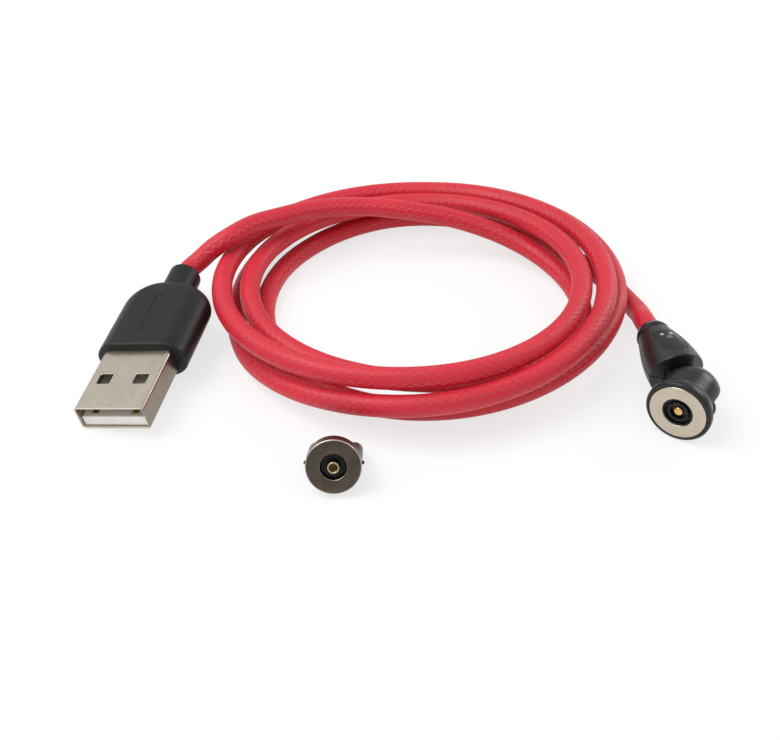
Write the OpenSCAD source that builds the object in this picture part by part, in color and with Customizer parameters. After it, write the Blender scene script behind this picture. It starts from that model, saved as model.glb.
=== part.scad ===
// Magnetic charging cable: USB-A plug, coiled two-core cord, swivelling magnetic
// head with a sprung centre pin, and its separate round magnetic tip.
// X runs to the right, Y away from the front, Z up; the table is z = 0.

/* [Cord] */
// Outside diameter of the cord
cord_d = 3.6; // [3.2:0.1:3.6]
// Diameter of each insulated wire where it shows inside the plug
wire_d = 1.0; // [0.8:0.1:1.2]

/* [USB plug] */
// Width of the metal shell
shell_w = 12.0; // [11.8:0.1:12.2]
// Height of the metal shell
shell_h = 4.5; // [4.4:0.1:4.7]
// Length of shell in front of the moulding
shell_out = 13.4; // [12.4:0.1:14]
// Length of shell held inside the moulding
shell_in = 5.0; // [4:0.1:6]
// Sheet thickness of the shell
shell_wall = 0.3; // [0.25:0.05:0.35]
// Outer corner radius of the shell
shell_r = 0.6; // [0.4:0.05:0.8]
// Side of each square latch window
window_side = 2.3; // [2:0.1:2.6]
// Distance between the two latch windows, centre to centre
window_gap = 6.4; // [6:0.1:6.6]
// Distance from the nose to the middle of the windows
window_back = 6.7; // [6:0.1:7.5]
// Height of the plastic tongue
tongue_h = 1.85; // [1.7:0.05:1.95]
// How far the tongue sits back from the nose
tongue_inset = 0.4; // [0.2:0.1:0.8]
// Width of a contact strip
contact_w = 1.1; // [0.9:0.1:1.3]
// Thickness of a contact strip
contact_t = 0.25; // [0.2:0.05:0.3]
// Distance between the two supply contacts
contact_gap = 7.0; // [6.8:0.1:7.2]
// Length of the pre-mould block round the wire joints
premould_len = 6.0; // [5:0.5:7]

/* [Plug moulding] */
// Width of the moulding
moulding_w = 16.0; // [15.6:0.2:17]
// Height of the moulding
moulding_h = 7.6; // [7.4:0.1:8.2]
// Length of its straight part
moulding_len = 12.2; // [11.6:0.2:14]
// Corner radius of its cross section
moulding_r = 3.6; // [2.8:0.1:3.6]
// Length of the shoulder down to the neck
shoulder_len = 4.8; // [4:0.2:5.4]
// Diameter of the neck that grips the cord
neck_d = 5.7; // [5.2:0.1:6]
// Length of the neck
neck_len = 5.6; // [4.4:0.2:6.4]
// Length of the shallow thumb recess
recess_len = 9.6; // [8:0.2:11]
// Width of the thumb recess
recess_w = 2.3; // [1.8:0.1:2.8]
// Depth of the thumb recess
recess_depth = 0.3; // [0.2:0.05:0.4]

/* [Swivel sleeve] */
// Largest diameter of the sleeve
sleeve_d = 9.1; // [8.9:0.1:9.3]
// Diameter of the sleeve at its cord end
sleeve_end_d = 5.8; // [5.6:0.1:6.2]
// Distance from the hinge to the sleeve's front
sleeve_front = 4.75; // [4.75:0.05:5]
// Distance from the hinge to the sleeve's back
sleeve_back = 15.4; // [15:0.1:16]
// Length of the fixed collar behind the sleeve
collar_len = 1.8; // [1.6:0.1:2.4]
// Width of the indicator panel
panel_w = 4.0; // [3.4:0.1:4.4]
// Length of the indicator panel
panel_len = 6.6; // [6:0.2:7]
// Thickness of the indicator panel
panel_t = 0.5; // [0.4:0.05:0.6]
// Diameter of each light pipe
light_d = 0.7; // [0.5:0.1:0.9]
// Thickness of the hinge tongue
knuckle_t = 3.3; // [3:0.1:3.4]
// Radius of the hinge tongue's round end
knuckle_r = 2.3; // [2:0.1:2.3]

/* [Magnetic head] */
// Diameter of the head's rim
head_d = 10.6; // [10.4:0.1:11]
// Distance from the hinge to the contact face
face_reach = 5.2; // [5.1:0.1:5.6]
// Radius of the ball behind the rim
ball_r = 4.7; // [4.6:0.05:4.7]
// Outer diameter of the contact ring
ring_d = 9.2; // [9:0.1:9.4]
// Diameter of the hole in the contact ring
ring_hole_d = 4.9; // [4.7:0.1:5.1]
// Thickness of the contact ring
ring_t = 0.7; // [0.6:0.05:0.8]
// Thickness of the ring magnet
magnet_t = 1.0; // [0.9:0.05:1.1]
// Diameter of the sprung centre pin
pogo_d = 1.5; // [1.4:0.1:1.6]
// Travel of the sprung centre pin
pogo_travel = 0.45; // [0.3:0.05:0.5]
// Diameter of the two hinge pins
hinge_pin_d = 1.5; // [1.4:0.1:1.6]

/* [Magnetic tip] */
// Diameter of the tip
tip_d = 8.4; // [8.2:0.1:8.6]
// Thickness of its steel face ring
tip_ring_t = 1.6; // [1.4:0.1:1.8]
// Diameter of the hole in the face ring
tip_hole_d = 4.0; // [3.8:0.1:4.2]
// Thickness of its moulded base
tip_base_t = 0.7; // [0.6:0.1:1]
// Diameter of the centre contact
tip_post_d = 1.9; // [1.8:0.1:2]
// Width of the device plug
usbc_w = 8.34; // [8.3:0.02:8.36]
// Height of the device plug
usbc_h = 2.56; // [2.5:0.02:2.58]
// Length of the device plug
usbc_len = 6.3; // [6:0.1:6.65]

/* [Layout] */
// Way the USB plug points
plug_yaw = -11; // [-20:1:0]
// Roll of the USB plug as it lies
plug_roll = 10; // [4:1:12]
// Way the sleeve points
sleeve_yaw = 10; // [5:1:15]
// Bend of the head from straight
head_bend = 44; // [30:1:60]

/* [Hidden] */
$fn = 48;

// ---- shared clearances ------------------------------------------------------
fit = 0.03;          // radial clearance of seated round pieces
seat = 0.05;         // clearance of seated flat-sided pieces
run = 0.05;          // radial clearance of turning and sliding pieces
eps = 0.01;          // overshoot of a cut past the face it opens
cord_r = cord_d / 2;

// ---- layout -----------------------------------------------------------------
plug_at = [-45.0, -10.4];
head_at = [45.8, -7.3];
tip_at = [-9.8, -23.3];
head_z = head_d / 2;
head_yaw = sleeve_yaw - head_bend;

// Depth of a rolled, rounded rectangle's lowest point below its middle
function rolled_drop(w, h, r) =
    (w / 2 - r) * sin(plug_roll) + (h / 2 - r) * cos(plug_roll) + r;
shell_drop = rolled_drop(shell_w, shell_h, shell_r);
moulding_drop = rolled_drop(moulding_w, moulding_h, moulding_r);
plug_pitch = atan((moulding_drop - shell_drop) / shell_out);
plug_z = shell_drop * cos(plug_pitch);

tip_r = tip_d / 2;
tip_depth = tip_ring_t + tip_base_t;
tip_lean = atan((tip_r - usbc_h / 2) / usbc_len);
tip_z = tip_r * cos(tip_lean) + tip_depth * sin(tip_lean);

module at_plug() {
    translate([plug_at[0], plug_at[1], plug_z])
        rotate([0, 0, plug_yaw])
            rotate([plug_pitch, 0, 0])
                rotate([0, -plug_roll, 0])
                    children();
}

module at_sleeve() {
    translate([head_at[0], head_at[1], head_z])
        rotate([0, 0, sleeve_yaw])
            children();
}

module at_head() {
    translate([head_at[0], head_at[1], head_z])
        rotate([0, 0, head_yaw])
            children();
}

module at_tip() {
    translate([tip_at[0], tip_at[1], tip_z])
        rotate([-tip_lean, 0, 0])
            children();
}

// ---- shared shapes ----------------------------------------------------------
// Rounded rectangle, exact arcs, in the XY plane
module rounded(w, h, r) {
    square([w - 2 * r, h], center = true);
    square([w, h - 2 * r], center = true);
    for (sx = [-1, 1], sy = [-1, 1])
        translate([sx * (w / 2 - r), sy * (h / 2 - r)])
            circle(r);
}

// Stadium of overall width w and height h
module stadium(w, h) {
    square([w - h, h], center = true);
    for (s = [-1, 1])
        translate([s * (w - h) / 2, 0])
            circle(h / 2);
}

// Extrudes a section drawn in X and Z from y0 to y1
module along_y(y0, y1) {
    translate([0, y1, 0])
        rotate([90, 0, 0])
            linear_extrude(y1 - y0)
                children();
}

// Round bar or bore along Y
module rod(d, y0, y1) {
    along_y(y0, y1) circle(d = d);
}

// Ring along Y
module ring(d_out, d_in, y0, y1) {
    along_y(y0, y1)
        difference() {
            circle(d = d_out);
            circle(d = d_in);
        }
}

// Straight round wire between two points, with ball ends
module wire(a, b, d) {
    v = b - a;
    length = norm(v);
    translate(a)
        rotate([0, acos(v[2] / length), atan2(v[1], v[0])])
            cylinder(d = d, h = length);
    for (p = [a, b])
        translate(p)
            sphere(d = d);
}

// ---- USB plug: y = 0 is the nose, +Y runs back to the cord --------------------
shell_len = shell_out + shell_in;
bore_w = shell_w - 2 * shell_wall;
bore_h = shell_h - 2 * shell_wall;
bore_r = shell_r - shell_wall;
tongue_w = bore_w - 2 * seat;
tongue_top = -bore_h / 2 + seat + tongue_h;
contact_tail = 2.0;
contact_back = shell_len + contact_tail;
contact_x = contact_gap / 2;
contact_top = tongue_top + contact_t;
premould_y0 = shell_len + seat;
premould_y1 = premould_y0 + premould_len;
premould_side = 0.8;
premould_room = 0.4;
premould_w = contact_gap + wire_d + 2 * (premould_side + premould_room);
premould_h = 5.0;
premould_wall = 1.2;
moulding_y0 = shell_out;
moulding_y1 = moulding_y0 + moulding_len;
neck_y0 = moulding_y1 + shoulder_len;
neck_y1 = neck_y0 + neck_len;
cord_start = premould_y1 + 2.0;
solder_d = 1.5;
solder_y = shell_len + contact_tail - 0.9;
wire_z = contact_top + wire_d / 2;
wire_bend_y = solder_y + 2.6;
wire_pitch = wire_d + 2 * seat;

module usb_shell() {
    color("silver")
        at_plug()
            difference() {
                along_y(0, shell_len) rounded(shell_w, shell_h, shell_r);
                along_y(-eps, shell_len + eps) rounded(bore_w, bore_h, bore_r);
                for (s = [-1, 1])
                    translate([s * window_gap / 2, window_back, 0])
                        cube([window_side, window_side, 2 * shell_h], center = true);
            }
}

module usb_tongue() {
    color("whitesmoke")
        at_plug()
            difference() {
                along_y(tongue_inset, shell_len)
                    intersection() {
                        rounded(tongue_w, bore_h - 2 * seat, bore_r);
                        translate([-tongue_w / 2, -bore_h / 2 + seat])
                            square([tongue_w, tongue_h]);
                    }
                for (s = [-1, 1])
                    translate([s * contact_x - contact_w / 2 - seat, tongue_inset + 0.6,
                               tongue_top - contact_t / 2])
                        cube([contact_w + 2 * seat, shell_len, contact_t]);
            }
}

module contact_strip(side) {
    translate([side * contact_x - contact_w / 2, tongue_inset + 0.7, tongue_top - contact_t / 2])
        cube([contact_w, contact_back - tongue_inset - 0.7, contact_t]);
}

module usb_power_contact() {
    color("gold") at_plug() contact_strip(1);
}

module usb_ground_contact() {
    color("gold") at_plug() contact_strip(-1);
}

strip_top = tongue_top + contact_t / 2;
wire_at_z = strip_top + wire_d / 2 + seat;

// Wire from its solder joint to the cord's end, side = 1 or -1
module plug_wire(side) {
    tail = [side * contact_x, solder_y, wire_at_z];
    bend = [side * contact_x, wire_bend_y, wire_at_z];
    mouth = [side * wire_pitch / 2, premould_y1 - premould_wall - wire_d / 2 - seat, 0];
    wire(tail, bend, wire_d);
    wire(bend, mouth, wire_d);
    wire(mouth, [mouth[0], cord_start - wire_d / 2 - seat, 0], wire_d);
}

module plug_power_wire() {
    color("crimson") at_plug() plug_wire(1);
}

module plug_ground_wire() {
    color("black") at_plug() plug_wire(-1);
}

module plug_solder_joints() {
    color("lightgray")
        at_plug()
            for (side = [-1, 1])
                difference() {
                    translate([side * contact_x, solder_y - wire_d / 2, strip_top])
                        sphere(d = solder_d);
                    translate([side * contact_x - solder_d, solder_y - 2 * solder_d, strip_top - solder_d])
                        cube([2 * solder_d, 4 * solder_d, solder_d]);
                    wire_end_room(side);
                }
}

// Room for the wire's bare end in a solder joint
module wire_end_room(side) {
    wire([side * contact_x, solder_y, wire_at_z], [side * contact_x, wire_bend_y, wire_at_z],
         wire_d + 2 * fit);
}

module plug_inner_mould() {
    color("ivory")
        at_plug()
            difference() {
                translate([-premould_w / 2, premould_y0, -premould_h / 2])
                    cube([premould_w, premould_len, premould_h]);
                translate([0, premould_y0 + (premould_len - premould_wall) / 2 - eps, 0])
                    cube([premould_w - 2 * premould_side, premould_len - premould_wall,
                          premould_h - 2 * premould_side], center = true);
                along_y(premould_y1 - premould_wall - 2 * eps, premould_y1 + eps)
                    stadium(2 * wire_pitch + 4 * seat, wire_d + 4 * seat);
            }
}

// Outline of the moulding seen from above, with round shoulders
module moulding_plan() {
    half = moulding_w / 2;
    neck_r = neck_d / 2;
    polygon(concat(
        [[-half, moulding_y0], [half, moulding_y0], [half, moulding_y1]],
        [for (a = [10:10:90])
            [neck_r + (half - neck_r) * cos(a), moulding_y1 + shoulder_len * sin(a)]],
        [[neck_r, neck_y1], [-neck_r, neck_y1]],
        [for (a = [90:-10:10])
            [-neck_r - (half - neck_r) * cos(a), moulding_y1 + shoulder_len * sin(a)]],
        [[-half, moulding_y1]]
    ));
}

// Outline of the moulding seen from the side
module moulding_side() {
    half = moulding_h / 2;
    neck_r = neck_d / 2;
    polygon(concat(
        [[moulding_y0, -half], [moulding_y1, -half]],
        [for (a = [10:10:90])
            [moulding_y1 + shoulder_len * sin(a), -neck_r - (half - neck_r) * cos(a)]],
        [[neck_y0 + eps, -neck_r], [neck_y0 + eps, neck_r]],
        [for (a = [90:-10:10])
            [moulding_y1 + shoulder_len * sin(a), neck_r + (half - neck_r) * cos(a)]],
        [[moulding_y1, half], [moulding_y0, half]]
    ));
}

module plug_housing() {
    recess_mid = moulding_y0 + moulding_len / 2 + 1.8;
    color("#303432")
        at_plug()
            difference() {
                union() {
                    intersection() {
                        along_y(moulding_y0, neck_y0 + eps)
                            rounded(moulding_w, moulding_h, moulding_r);
                        translate([0, 0, -moulding_h])
                            linear_extrude(2 * moulding_h)
                                moulding_plan();
                        rotate([90, 0, 90])
                            translate([0, 0, -moulding_w])
                                linear_extrude(2 * moulding_w)
                                    moulding_side();
                    }
                    rod(neck_d, neck_y0 - 1, neck_y1);
                }
                along_y(moulding_y0 - eps, shell_len + seat)
                    rounded(shell_w + 2 * fit, shell_h + 2 * fit, shell_r);
                translate([-premould_w / 2 - seat, shell_len, -premould_h / 2 - seat])
                    cube([premould_w + 2 * seat, premould_len + 3 * seat, premould_h + 2 * seat]);
                along_y(premould_y1, cord_start)
                    stadium(2 * wire_pitch + 4 * seat, wire_d + 4 * seat);
                rod(cord_d + 2 * fit, cord_start - seat, neck_y1 + eps);
                for (side = [-1, 1])
                    translate([0, recess_mid, side * (moulding_h / 2 - recess_depth)])
                        mirror([0, 0, side < 0 ? 1 : 0])
                            linear_extrude(moulding_h)
                                rotate(90) stadium(recess_len, recess_w);
            }
}

// ---- cord ---------------------------------------------------------------------
// Each turn of the coil passes four stations, a quarter turn apart and clockwise
// from the back: [distance from the coil's middle, height of the cord's middle].
COIL_MIDDLE = [3.0, 23.5];
COIL_STATIONS = [
    [28.5, 11.0],
    [20.5, 9.0], [30.0, 2.0], [27.5, 5.5], [29.5, 6.0],
    [27.5, 7.0], [28.9, 9.6], [33.1, 10.6], [34.2, 7.4],
    [31.6, 7.3], [33.2, 9.8], [36.0, 7.5], [32.0, 0.5],
    [36.5, 4.5], [36.0, 6.0], [31.0, 2.5], [27.0, 1.0],
    [29.5, 2.5], [33.5, 2.0], [37.5, 2.0]
];
COIL_RINGS_A_TURN = 24;
COIL_SIDES = 6;
COIL_TURNS = 4.125;
LEAD_SIDES = 8;

// Smooth curve through the middle two of four values
function blend(a, b, c, d, t) =
    0.5 * (2 * b + (c - a) * t + (2 * a - 5 * b + 4 * c - d) * t * t
           + (3 * b - a - 3 * c + d) * t * t * t);

// Column k of the coil's stations at s quarter turns after the start
function coil_value(s, k) =
    let (i = min(floor(s), len(COIL_STATIONS) - 4), t = s - i)
    blend(COIL_STATIONS[i][k], COIL_STATIONS[i + 1][k],
          COIL_STATIONS[i + 2][k], COIL_STATIONS[i + 3][k], t);

function coil_point(s) =
    let (angle = 90 - 90 * s, r = coil_value(s, 0))
    [COIL_MIDDLE[0] + r * cos(angle), COIL_MIDDLE[1] + r * sin(angle),
     max(cord_r, coil_value(s, 1))];

COIL_STEP = 4 / COIL_RINGS_A_TURN;
COIL_END = 4 * COIL_TURNS;
function unit(v) = v / norm(v);
coil_first = coil_point(0);
coil_last = coil_point(COIL_END);
coil_out = unit(coil_first - coil_point(COIL_STEP / 4));
coil_on = unit(coil_last - coil_point(COIL_END - COIL_STEP / 4));

// The coil's path: its turns, and a straight diameter at each end
coil_path = concat(
    [coil_first + coil_out * cord_d],
    [for (s = [0:COIL_STEP:COIL_END + COIL_STEP / 2]) coil_point(s)],
    [coil_last + coil_on * cord_d]
);
coil_in = -coil_out;

// Least gap between turns, measured on the path's points
coil_gap = min([
    for (i = [0:1:len(coil_path) - 1])
        for (j = [i + COIL_RINGS_A_TURN / 2:1:len(coil_path) - 1])
            norm(coil_path[i] - coil_path[j])
]) - cord_d;
echo(coil_gap = coil_gap);

function path_length(p) =
    let (steps = [for (i = [1:1:len(p) - 1]) norm(p[i] - p[i - 1])])
    steps * [for (step = steps) 1];

// Directions of a path at its points; first and last are those of its end faces
function headings(p, first, last) = concat(
    [first],
    [for (i = [1:1:len(p) - 2]) unit(unit(p[i + 1] - p[i]) + unit(p[i] - p[i - 1]))],
    [last]
);

// Closed tube of radius r round a path
module tube(p, r, sides, first, last) {
    n = len(p);
    along = headings(p, first, last);
    points = [
        for (i = [0:1:n - 1])
            let (h = along[i], side = unit(cross([0, 0, 1], h)), up = cross(h, side))
            for (k = [0:1:sides - 1])
                let (a = 360 * (k + 0.5) / sides)
                p[i] + r * (cos(a) * side + sin(a) * up)
    ];
    walls = [
        for (i = [0:1:n - 2])
            for (k = [0:1:sides - 1])
                let (a = i * sides + k, b = i * sides + (k + 1) % sides)
                for (f = [[a, b, b + sides], [a, b + sides, a + sides]])
                    f
    ];
    first_cap = [for (k = [1:1:sides - 2]) [0, k + 1, k]];
    last_cap = [for (k = [1:1:sides - 2]) (n - 1) * sides * [1, 1, 1] + [0, k, k + 1]];
    polyhedron(points = points, faces = concat(walls, first_cap, last_cap), convexity = 10);
}

// Place of a point given in the plug's own directions
function plug_point(v) =
    let (
        rolled = [v[0] * cos(plug_roll) - v[2] * sin(plug_roll), v[1],
                  v[0] * sin(plug_roll) + v[2] * cos(plug_roll)],
        pitched = [rolled[0], rolled[1] * cos(plug_pitch) - rolled[2] * sin(plug_pitch),
                   rolled[1] * sin(plug_pitch) + rolled[2] * cos(plug_pitch)]
    )
    [plug_at[0] + pitched[0] * cos(plug_yaw) - pitched[1] * sin(plug_yaw),
     plug_at[1] + pitched[0] * sin(plug_yaw) + pitched[1] * cos(plug_yaw),
     plug_z + pitched[2]];

// Place of a point on the sleeve's axis, y back from the hinge
function sleeve_point(y) =
    [head_at[0] - y * sin(sleeve_yaw), head_at[1] + y * cos(sleeve_yaw), head_z];

collar_y0 = sleeve_back + 0.15;
collar_y1 = collar_y0 + collar_len;
cord_stop = collar_y1 - 1.0;

plug_lead_path = concat(
    [plug_point([0, cord_start, 0]), plug_point([0, neck_y1, 0]), plug_point([0, neck_y1 + 1.5, 0])],
    [[-35.9, 28.2, 8.0], [-33.7, 29.2, 9.7], [-31.0, 30.5, 11.1], [-26.8, 34.1, 11.8],
     [-21.9, 37.6, 11.5], [-16.5, 41.0, 11.0], [-11.0, 43.0, 10.5], [-5.5, 44.0, 10.0]],
    [coil_path[0]]
);
plug_way = unit(plug_point([0, 1, 0]) - plug_point([0, 0, 0]));
sleeve_way = unit(sleeve_point(0) - sleeve_point(1));
head_lead_path = concat(
    [coil_path[len(coil_path) - 1]],
    [[33.0, 39.0, 2.0], [37.0, 33.5, 2.0], [40.0, 28.0, 2.0], [41.8, 22.5, 2.4], [42.5, 17.5, 3.6]],
    [sleeve_point(collar_y1 + 3), sleeve_point(collar_y1), sleeve_point(cord_stop)]
);
echo(neck_end = plug_point([0, neck_y1, 0]), collar = sleeve_point(collar_y1));
echo(cord_length = path_length(plug_lead_path) + path_length(coil_path) + path_length(head_lead_path));
echo(coil_start = coil_path[0], coil_stop = coil_path[len(coil_path) - 1]);

module cord_plug_lead() {
    color("#cf2f42") tube(plug_lead_path, cord_r, LEAD_SIDES, plug_way, coil_in);
}

module cord_coil() {
    color("#cf2f42") tube(coil_path, cord_r, COIL_SIDES, coil_in, coil_on);
}

module cord_head_lead() {
    color("#cf2f42") tube(head_lead_path, cord_r, LEAD_SIDES, coil_on, sleeve_way);
}

// ---- collar and swivel, on the sleeve's axis: +Y runs back to the cord ----------
spindle_d = 3.2;
spindle_bore = 2.4;
flange_d = 4.4;
flange_t = 0.5;
flange_y = 12.0;
pin_d = 1.2;
pin_tip_y = flange_y - 0.6;
spindle_y1 = cord_stop - seat;

module head_collar() {
    color("#262a29")
        at_sleeve()
            difference() {
                rotate([-90, 0, 0])
                    rotate_extrude()
                        polygon([[0, collar_y0], [sleeve_end_d / 2, collar_y0],
                                 [sleeve_end_d / 2, collar_y0 + collar_len * 0.4],
                                 [cord_r + 0.6, collar_y1], [0, collar_y1]]);
                rod(spindle_d + 2 * fit, collar_y0 - eps, cord_stop);
                rod(cord_d + 2 * fit, cord_stop - seat, collar_y1 + eps);
            }
}

module swivel_spindle() {
    color("goldenrod")
        at_sleeve() {
            ring(spindle_d, spindle_bore, flange_y + flange_t - eps, spindle_y1);
            ring(flange_d, spindle_bore, flange_y, flange_y + flange_t);
        }
}

module spindle_insulator() {
    color("white")
        at_sleeve()
            ring(spindle_bore - 2 * fit, pin_d + 2 * fit, flange_y, spindle_y1);
}

module spindle_centre_pin() {
    color("gold") at_sleeve() rod(pin_d, pin_tip_y, spindle_y1);
}

// ---- sleeve: two shells that meet in the hinge's plane --------------------------
sleeve_r = sleeve_d / 2;
sleeve_taper_y = 6.0;
sleeve_edge = 0.3;
chamfer_x = 2.0;
chamfer_back = 1.05;
shell_gap = 0.04;
room_w = 5.2;
room_h = 5.2;
room_y0 = 8.6;
room_y1 = flange_y + flange_t;
room_wall = 0.35; // least wall between the room and the outside or the panel's pocket
room_cover = panel_t + seat + room_wall;
root_w = 6.4;
root_y0 = 5.9;
root_y1 = 8.4;

// Radius of the sleeve's outside at y
function sleeve_radius(y) =
    y < sleeve_taper_y ? sleeve_r
    : sleeve_end_d / 2 + (sleeve_r - sleeve_end_d / 2)
      * cos(90 * (y - sleeve_taper_y) / (sleeve_back - sleeve_taper_y));

// Solid of the sleeve's outside, shrunk by inset
module sleeve_outside(inset) {
    taper_step = (sleeve_back - sleeve_taper_y) / 10;
    rotate([-90, 0, 0])
        rotate_extrude()
            polygon(concat(
                [[0, sleeve_front], [sleeve_r - sleeve_edge - inset, sleeve_front],
                 [sleeve_r - inset, sleeve_front + sleeve_edge]],
                [for (y = [sleeve_taper_y:taper_step:sleeve_back + eps])
                    [sleeve_radius(min(y, sleeve_back)) - inset, min(y, sleeve_back)]],
                [[0, sleeve_back]]
            ));
}

// Everything cut out of the sleeve's two shells
module sleeve_cuts() {
    // dish that clears the head's ball
    sphere(r = ball_r + 0.25);
    // corners that clear the rim when the head is folded sideways
    for (s = [-1, 1])
        mirror([s < 0 ? 1 : 0, 0, 0])
            translate([0, 0, -sleeve_d])
                linear_extrude(2 * sleeve_d)
                    polygon([[chamfer_x, sleeve_front - eps], [sleeve_r + 1, sleeve_front - eps],
                             [sleeve_r + 1, sleeve_front + chamfer_back * (sleeve_r + 1 - chamfer_x)
                                            / (sleeve_r - chamfer_x)]]);
    // slot and pocket for the hinge tongue
    translate([-knuckle_r - seat, 0, -knuckle_t / 2 - seat])
        cube([2 * (knuckle_r + seat), root_y1, knuckle_t + 2 * seat]);
    translate([-root_w / 2 - seat, root_y0 - seat, -knuckle_t / 2 - seat])
        cube([root_w + 2 * seat, root_y1 - root_y0 + 2 * seat, knuckle_t + 2 * seat]);
    // wire way from the tongue to the room
    translate([-1, root_y1 - 1, -knuckle_t / 2])
        cube([2, room_y0 - root_y1 + 2, knuckle_t]);
    // room for the board and the slip contacts
    intersection() {
        translate([-room_w / 2, room_y0, -room_h / 2])
            cube([room_w, room_y1 - room_y0, room_h]);
        sleeve_outside(room_cover);
    }
    // running seat of the spindle
    rod(spindle_d + 2 * run, room_y1 - 1, sleeve_back + eps);
}

// Prism of the panel's outline, shrunk by inset
module panel_prism(inset) {
    panel_y1 = sleeve_taper_y + panel_len;
    half = panel_w / 2 - inset;
    linear_extrude(sleeve_d)
        union() {
            translate([-half, sleeve_taper_y + panel_w / 2])
                square([2 * half, panel_y1 - inset - sleeve_taper_y - panel_w / 2]);
            translate([0, sleeve_taper_y + panel_w / 2])
                circle(r = half);
        }
}

light_places = [[-0.75, 11.6], [0.75, 11.6], [0, 10.5]];
board_z = 1.75;
board_t = 0.5;
lamp_side = 0.6;
lamp_h = 0.35;

module light_bores(d) {
    for (p = light_places)
        translate([p[0], p[1], 0])
            cylinder(d = d, h = sleeve_d);
}

module sleeve_upper_shell() {
    color("#2b2f2e")
        at_sleeve()
            difference() {
                sleeve_outside(0);
                translate([-sleeve_d, 0, -2 * sleeve_d + shell_gap / 2])
                    cube([2 * sleeve_d, 2 * sleeve_back, 2 * sleeve_d]);
                sleeve_cuts();
                difference() {
                    panel_prism(0);
                    sleeve_outside(panel_t + seat);
                }
                light_bores(light_d + 2 * fit);
            }
}

module sleeve_lower_shell() {
    color("#2b2f2e")
        at_sleeve()
            difference() {
                sleeve_outside(0);
                translate([-sleeve_d, 0, -shell_gap / 2])
                    cube([2 * sleeve_d, 2 * sleeve_back, 2 * sleeve_d]);
                sleeve_cuts();
            }
}

module indicator_panel() {
    color("#1c2422")
        at_sleeve()
            difference() {
                intersection() {
                    panel_prism(seat);
                    sleeve_outside(0.12);
                }
                sleeve_outside(panel_t);
                light_bores(light_d + 2 * fit);
            }
}

module indicator_lenses() {
    color("white")
        at_sleeve()
            intersection() {
                sleeve_outside(0.06);
                translate([0, 0, board_z + board_t + lamp_h + seat])
                    light_bores(light_d);
            }
}

module indicator_leds() {
    color("lightyellow")
        at_sleeve()
            for (p = light_places)
                translate([p[0] - lamp_side / 2, p[1] - lamp_side / 2, board_z + board_t])
                    cube([lamp_side, lamp_side, lamp_h]);
}

module led_board() {
    board_y0 = room_y0 + seat;
    half = sqrt(pow(sleeve_radius(flange_y) - room_cover, 2) - pow(board_z + board_t, 2)) - seat;
    color("darkgreen")
        at_sleeve()
            translate([-half, board_y0, board_z])
                cube([2 * half, flange_y - run - board_y0, board_t]);
}

// Slip contacts hang from the board and press on the spindle and on its pin
brush_w = 0.5;

module ground_brush() {
    color("goldenrod")
        at_sleeve()
            for (s = [-1, 1])
                translate([s * (spindle_bore + brush_w) / 2 - brush_w / 2, flange_y - 0.2, 0])
                    cube([brush_w, 0.2 - run, board_z]);
}

module power_brush() {
    color("goldenrod")
        at_sleeve()
            translate([-0.4, pin_tip_y - 0.2 - run, 0])
                cube([0.8, 0.2, board_z]);
}

bush_d = 2.6;
bush_z0 = 0.35;
bush_h = knuckle_t / 2 - bush_z0;
bush_bore = hinge_pin_d + 2 * run;
lead_d = 0.6;
lead_z = 1.0;

module hinge_tongue() {
    color("#262a29")
        at_sleeve()
            difference() {
                translate([0, 0, -knuckle_t / 2])
                    union() {
                        cylinder(r = knuckle_r, h = knuckle_t);
                        translate([-knuckle_r, 0, 0])
                            cube([2 * knuckle_r, root_y1, knuckle_t]);
                        translate([-root_w / 2, root_y0, 0])
                            cube([root_w, root_y1 - root_y0, knuckle_t]);
                    }
                for (s = [-1, 1])
                    mirror([0, 0, s < 0 ? 1 : 0])
                        translate([0, 0, bush_z0])
                            cylinder(d = bush_d + 2 * fit, h = knuckle_t);
                for (s = [-1, 1])
                    translate([0, 0, s * lead_z])
                        rod(lead_d + 2 * seat, bush_d / 2, root_y1 + eps);
            }
}

module hinge_bushes() {
    color("goldenrod")
        at_sleeve()
            for (s = [-1, 1])
                mirror([0, 0, s < 0 ? 1 : 0])
                    translate([0, 0, bush_z0])
                        difference() {
                            cylinder(d = bush_d, h = bush_h);
                            translate([0, 0, -eps])
                                cylinder(d = bush_bore, h = bush_h + 2 * eps);
                        }
}

module sleeve_power_wire() {
    color("crimson") at_sleeve() translate([0, 0, lead_z]) rod(lead_d, bush_d / 2 + seat, room_y0 + 1);
}

module sleeve_ground_wire() {
    color("black") at_sleeve() translate([0, 0, -lead_z]) rod(lead_d, bush_d / 2 + seat, room_y0 + 1);
}

// ---- head: y = 0 is the hinge, the contact face is at y = -face_reach ------------
rim_y = -face_reach + 0.1;
rim_edge = 0.4;
rim_wide_y = -4.0;
rim_back_y = -2.6;
slot_h = knuckle_t + 0.2;
slot_y = -knuckle_r - 0.15;
magnet_d = ring_d - 0.4;
magnet_hole_d = ring_hole_d + 0.2;
ring_y1 = -face_reach + ring_t;
magnet_y1 = ring_y1 + magnet_t;
board_head_t = 0.4;
board_y1 = magnet_y1 + board_head_t;
hinge_pin_z0 = bush_z0;
hinge_pin_z1 = 4.0;
leaf_w = 0.5;
leaf_h = 0.25;
leaf_z = 2.6;

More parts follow.
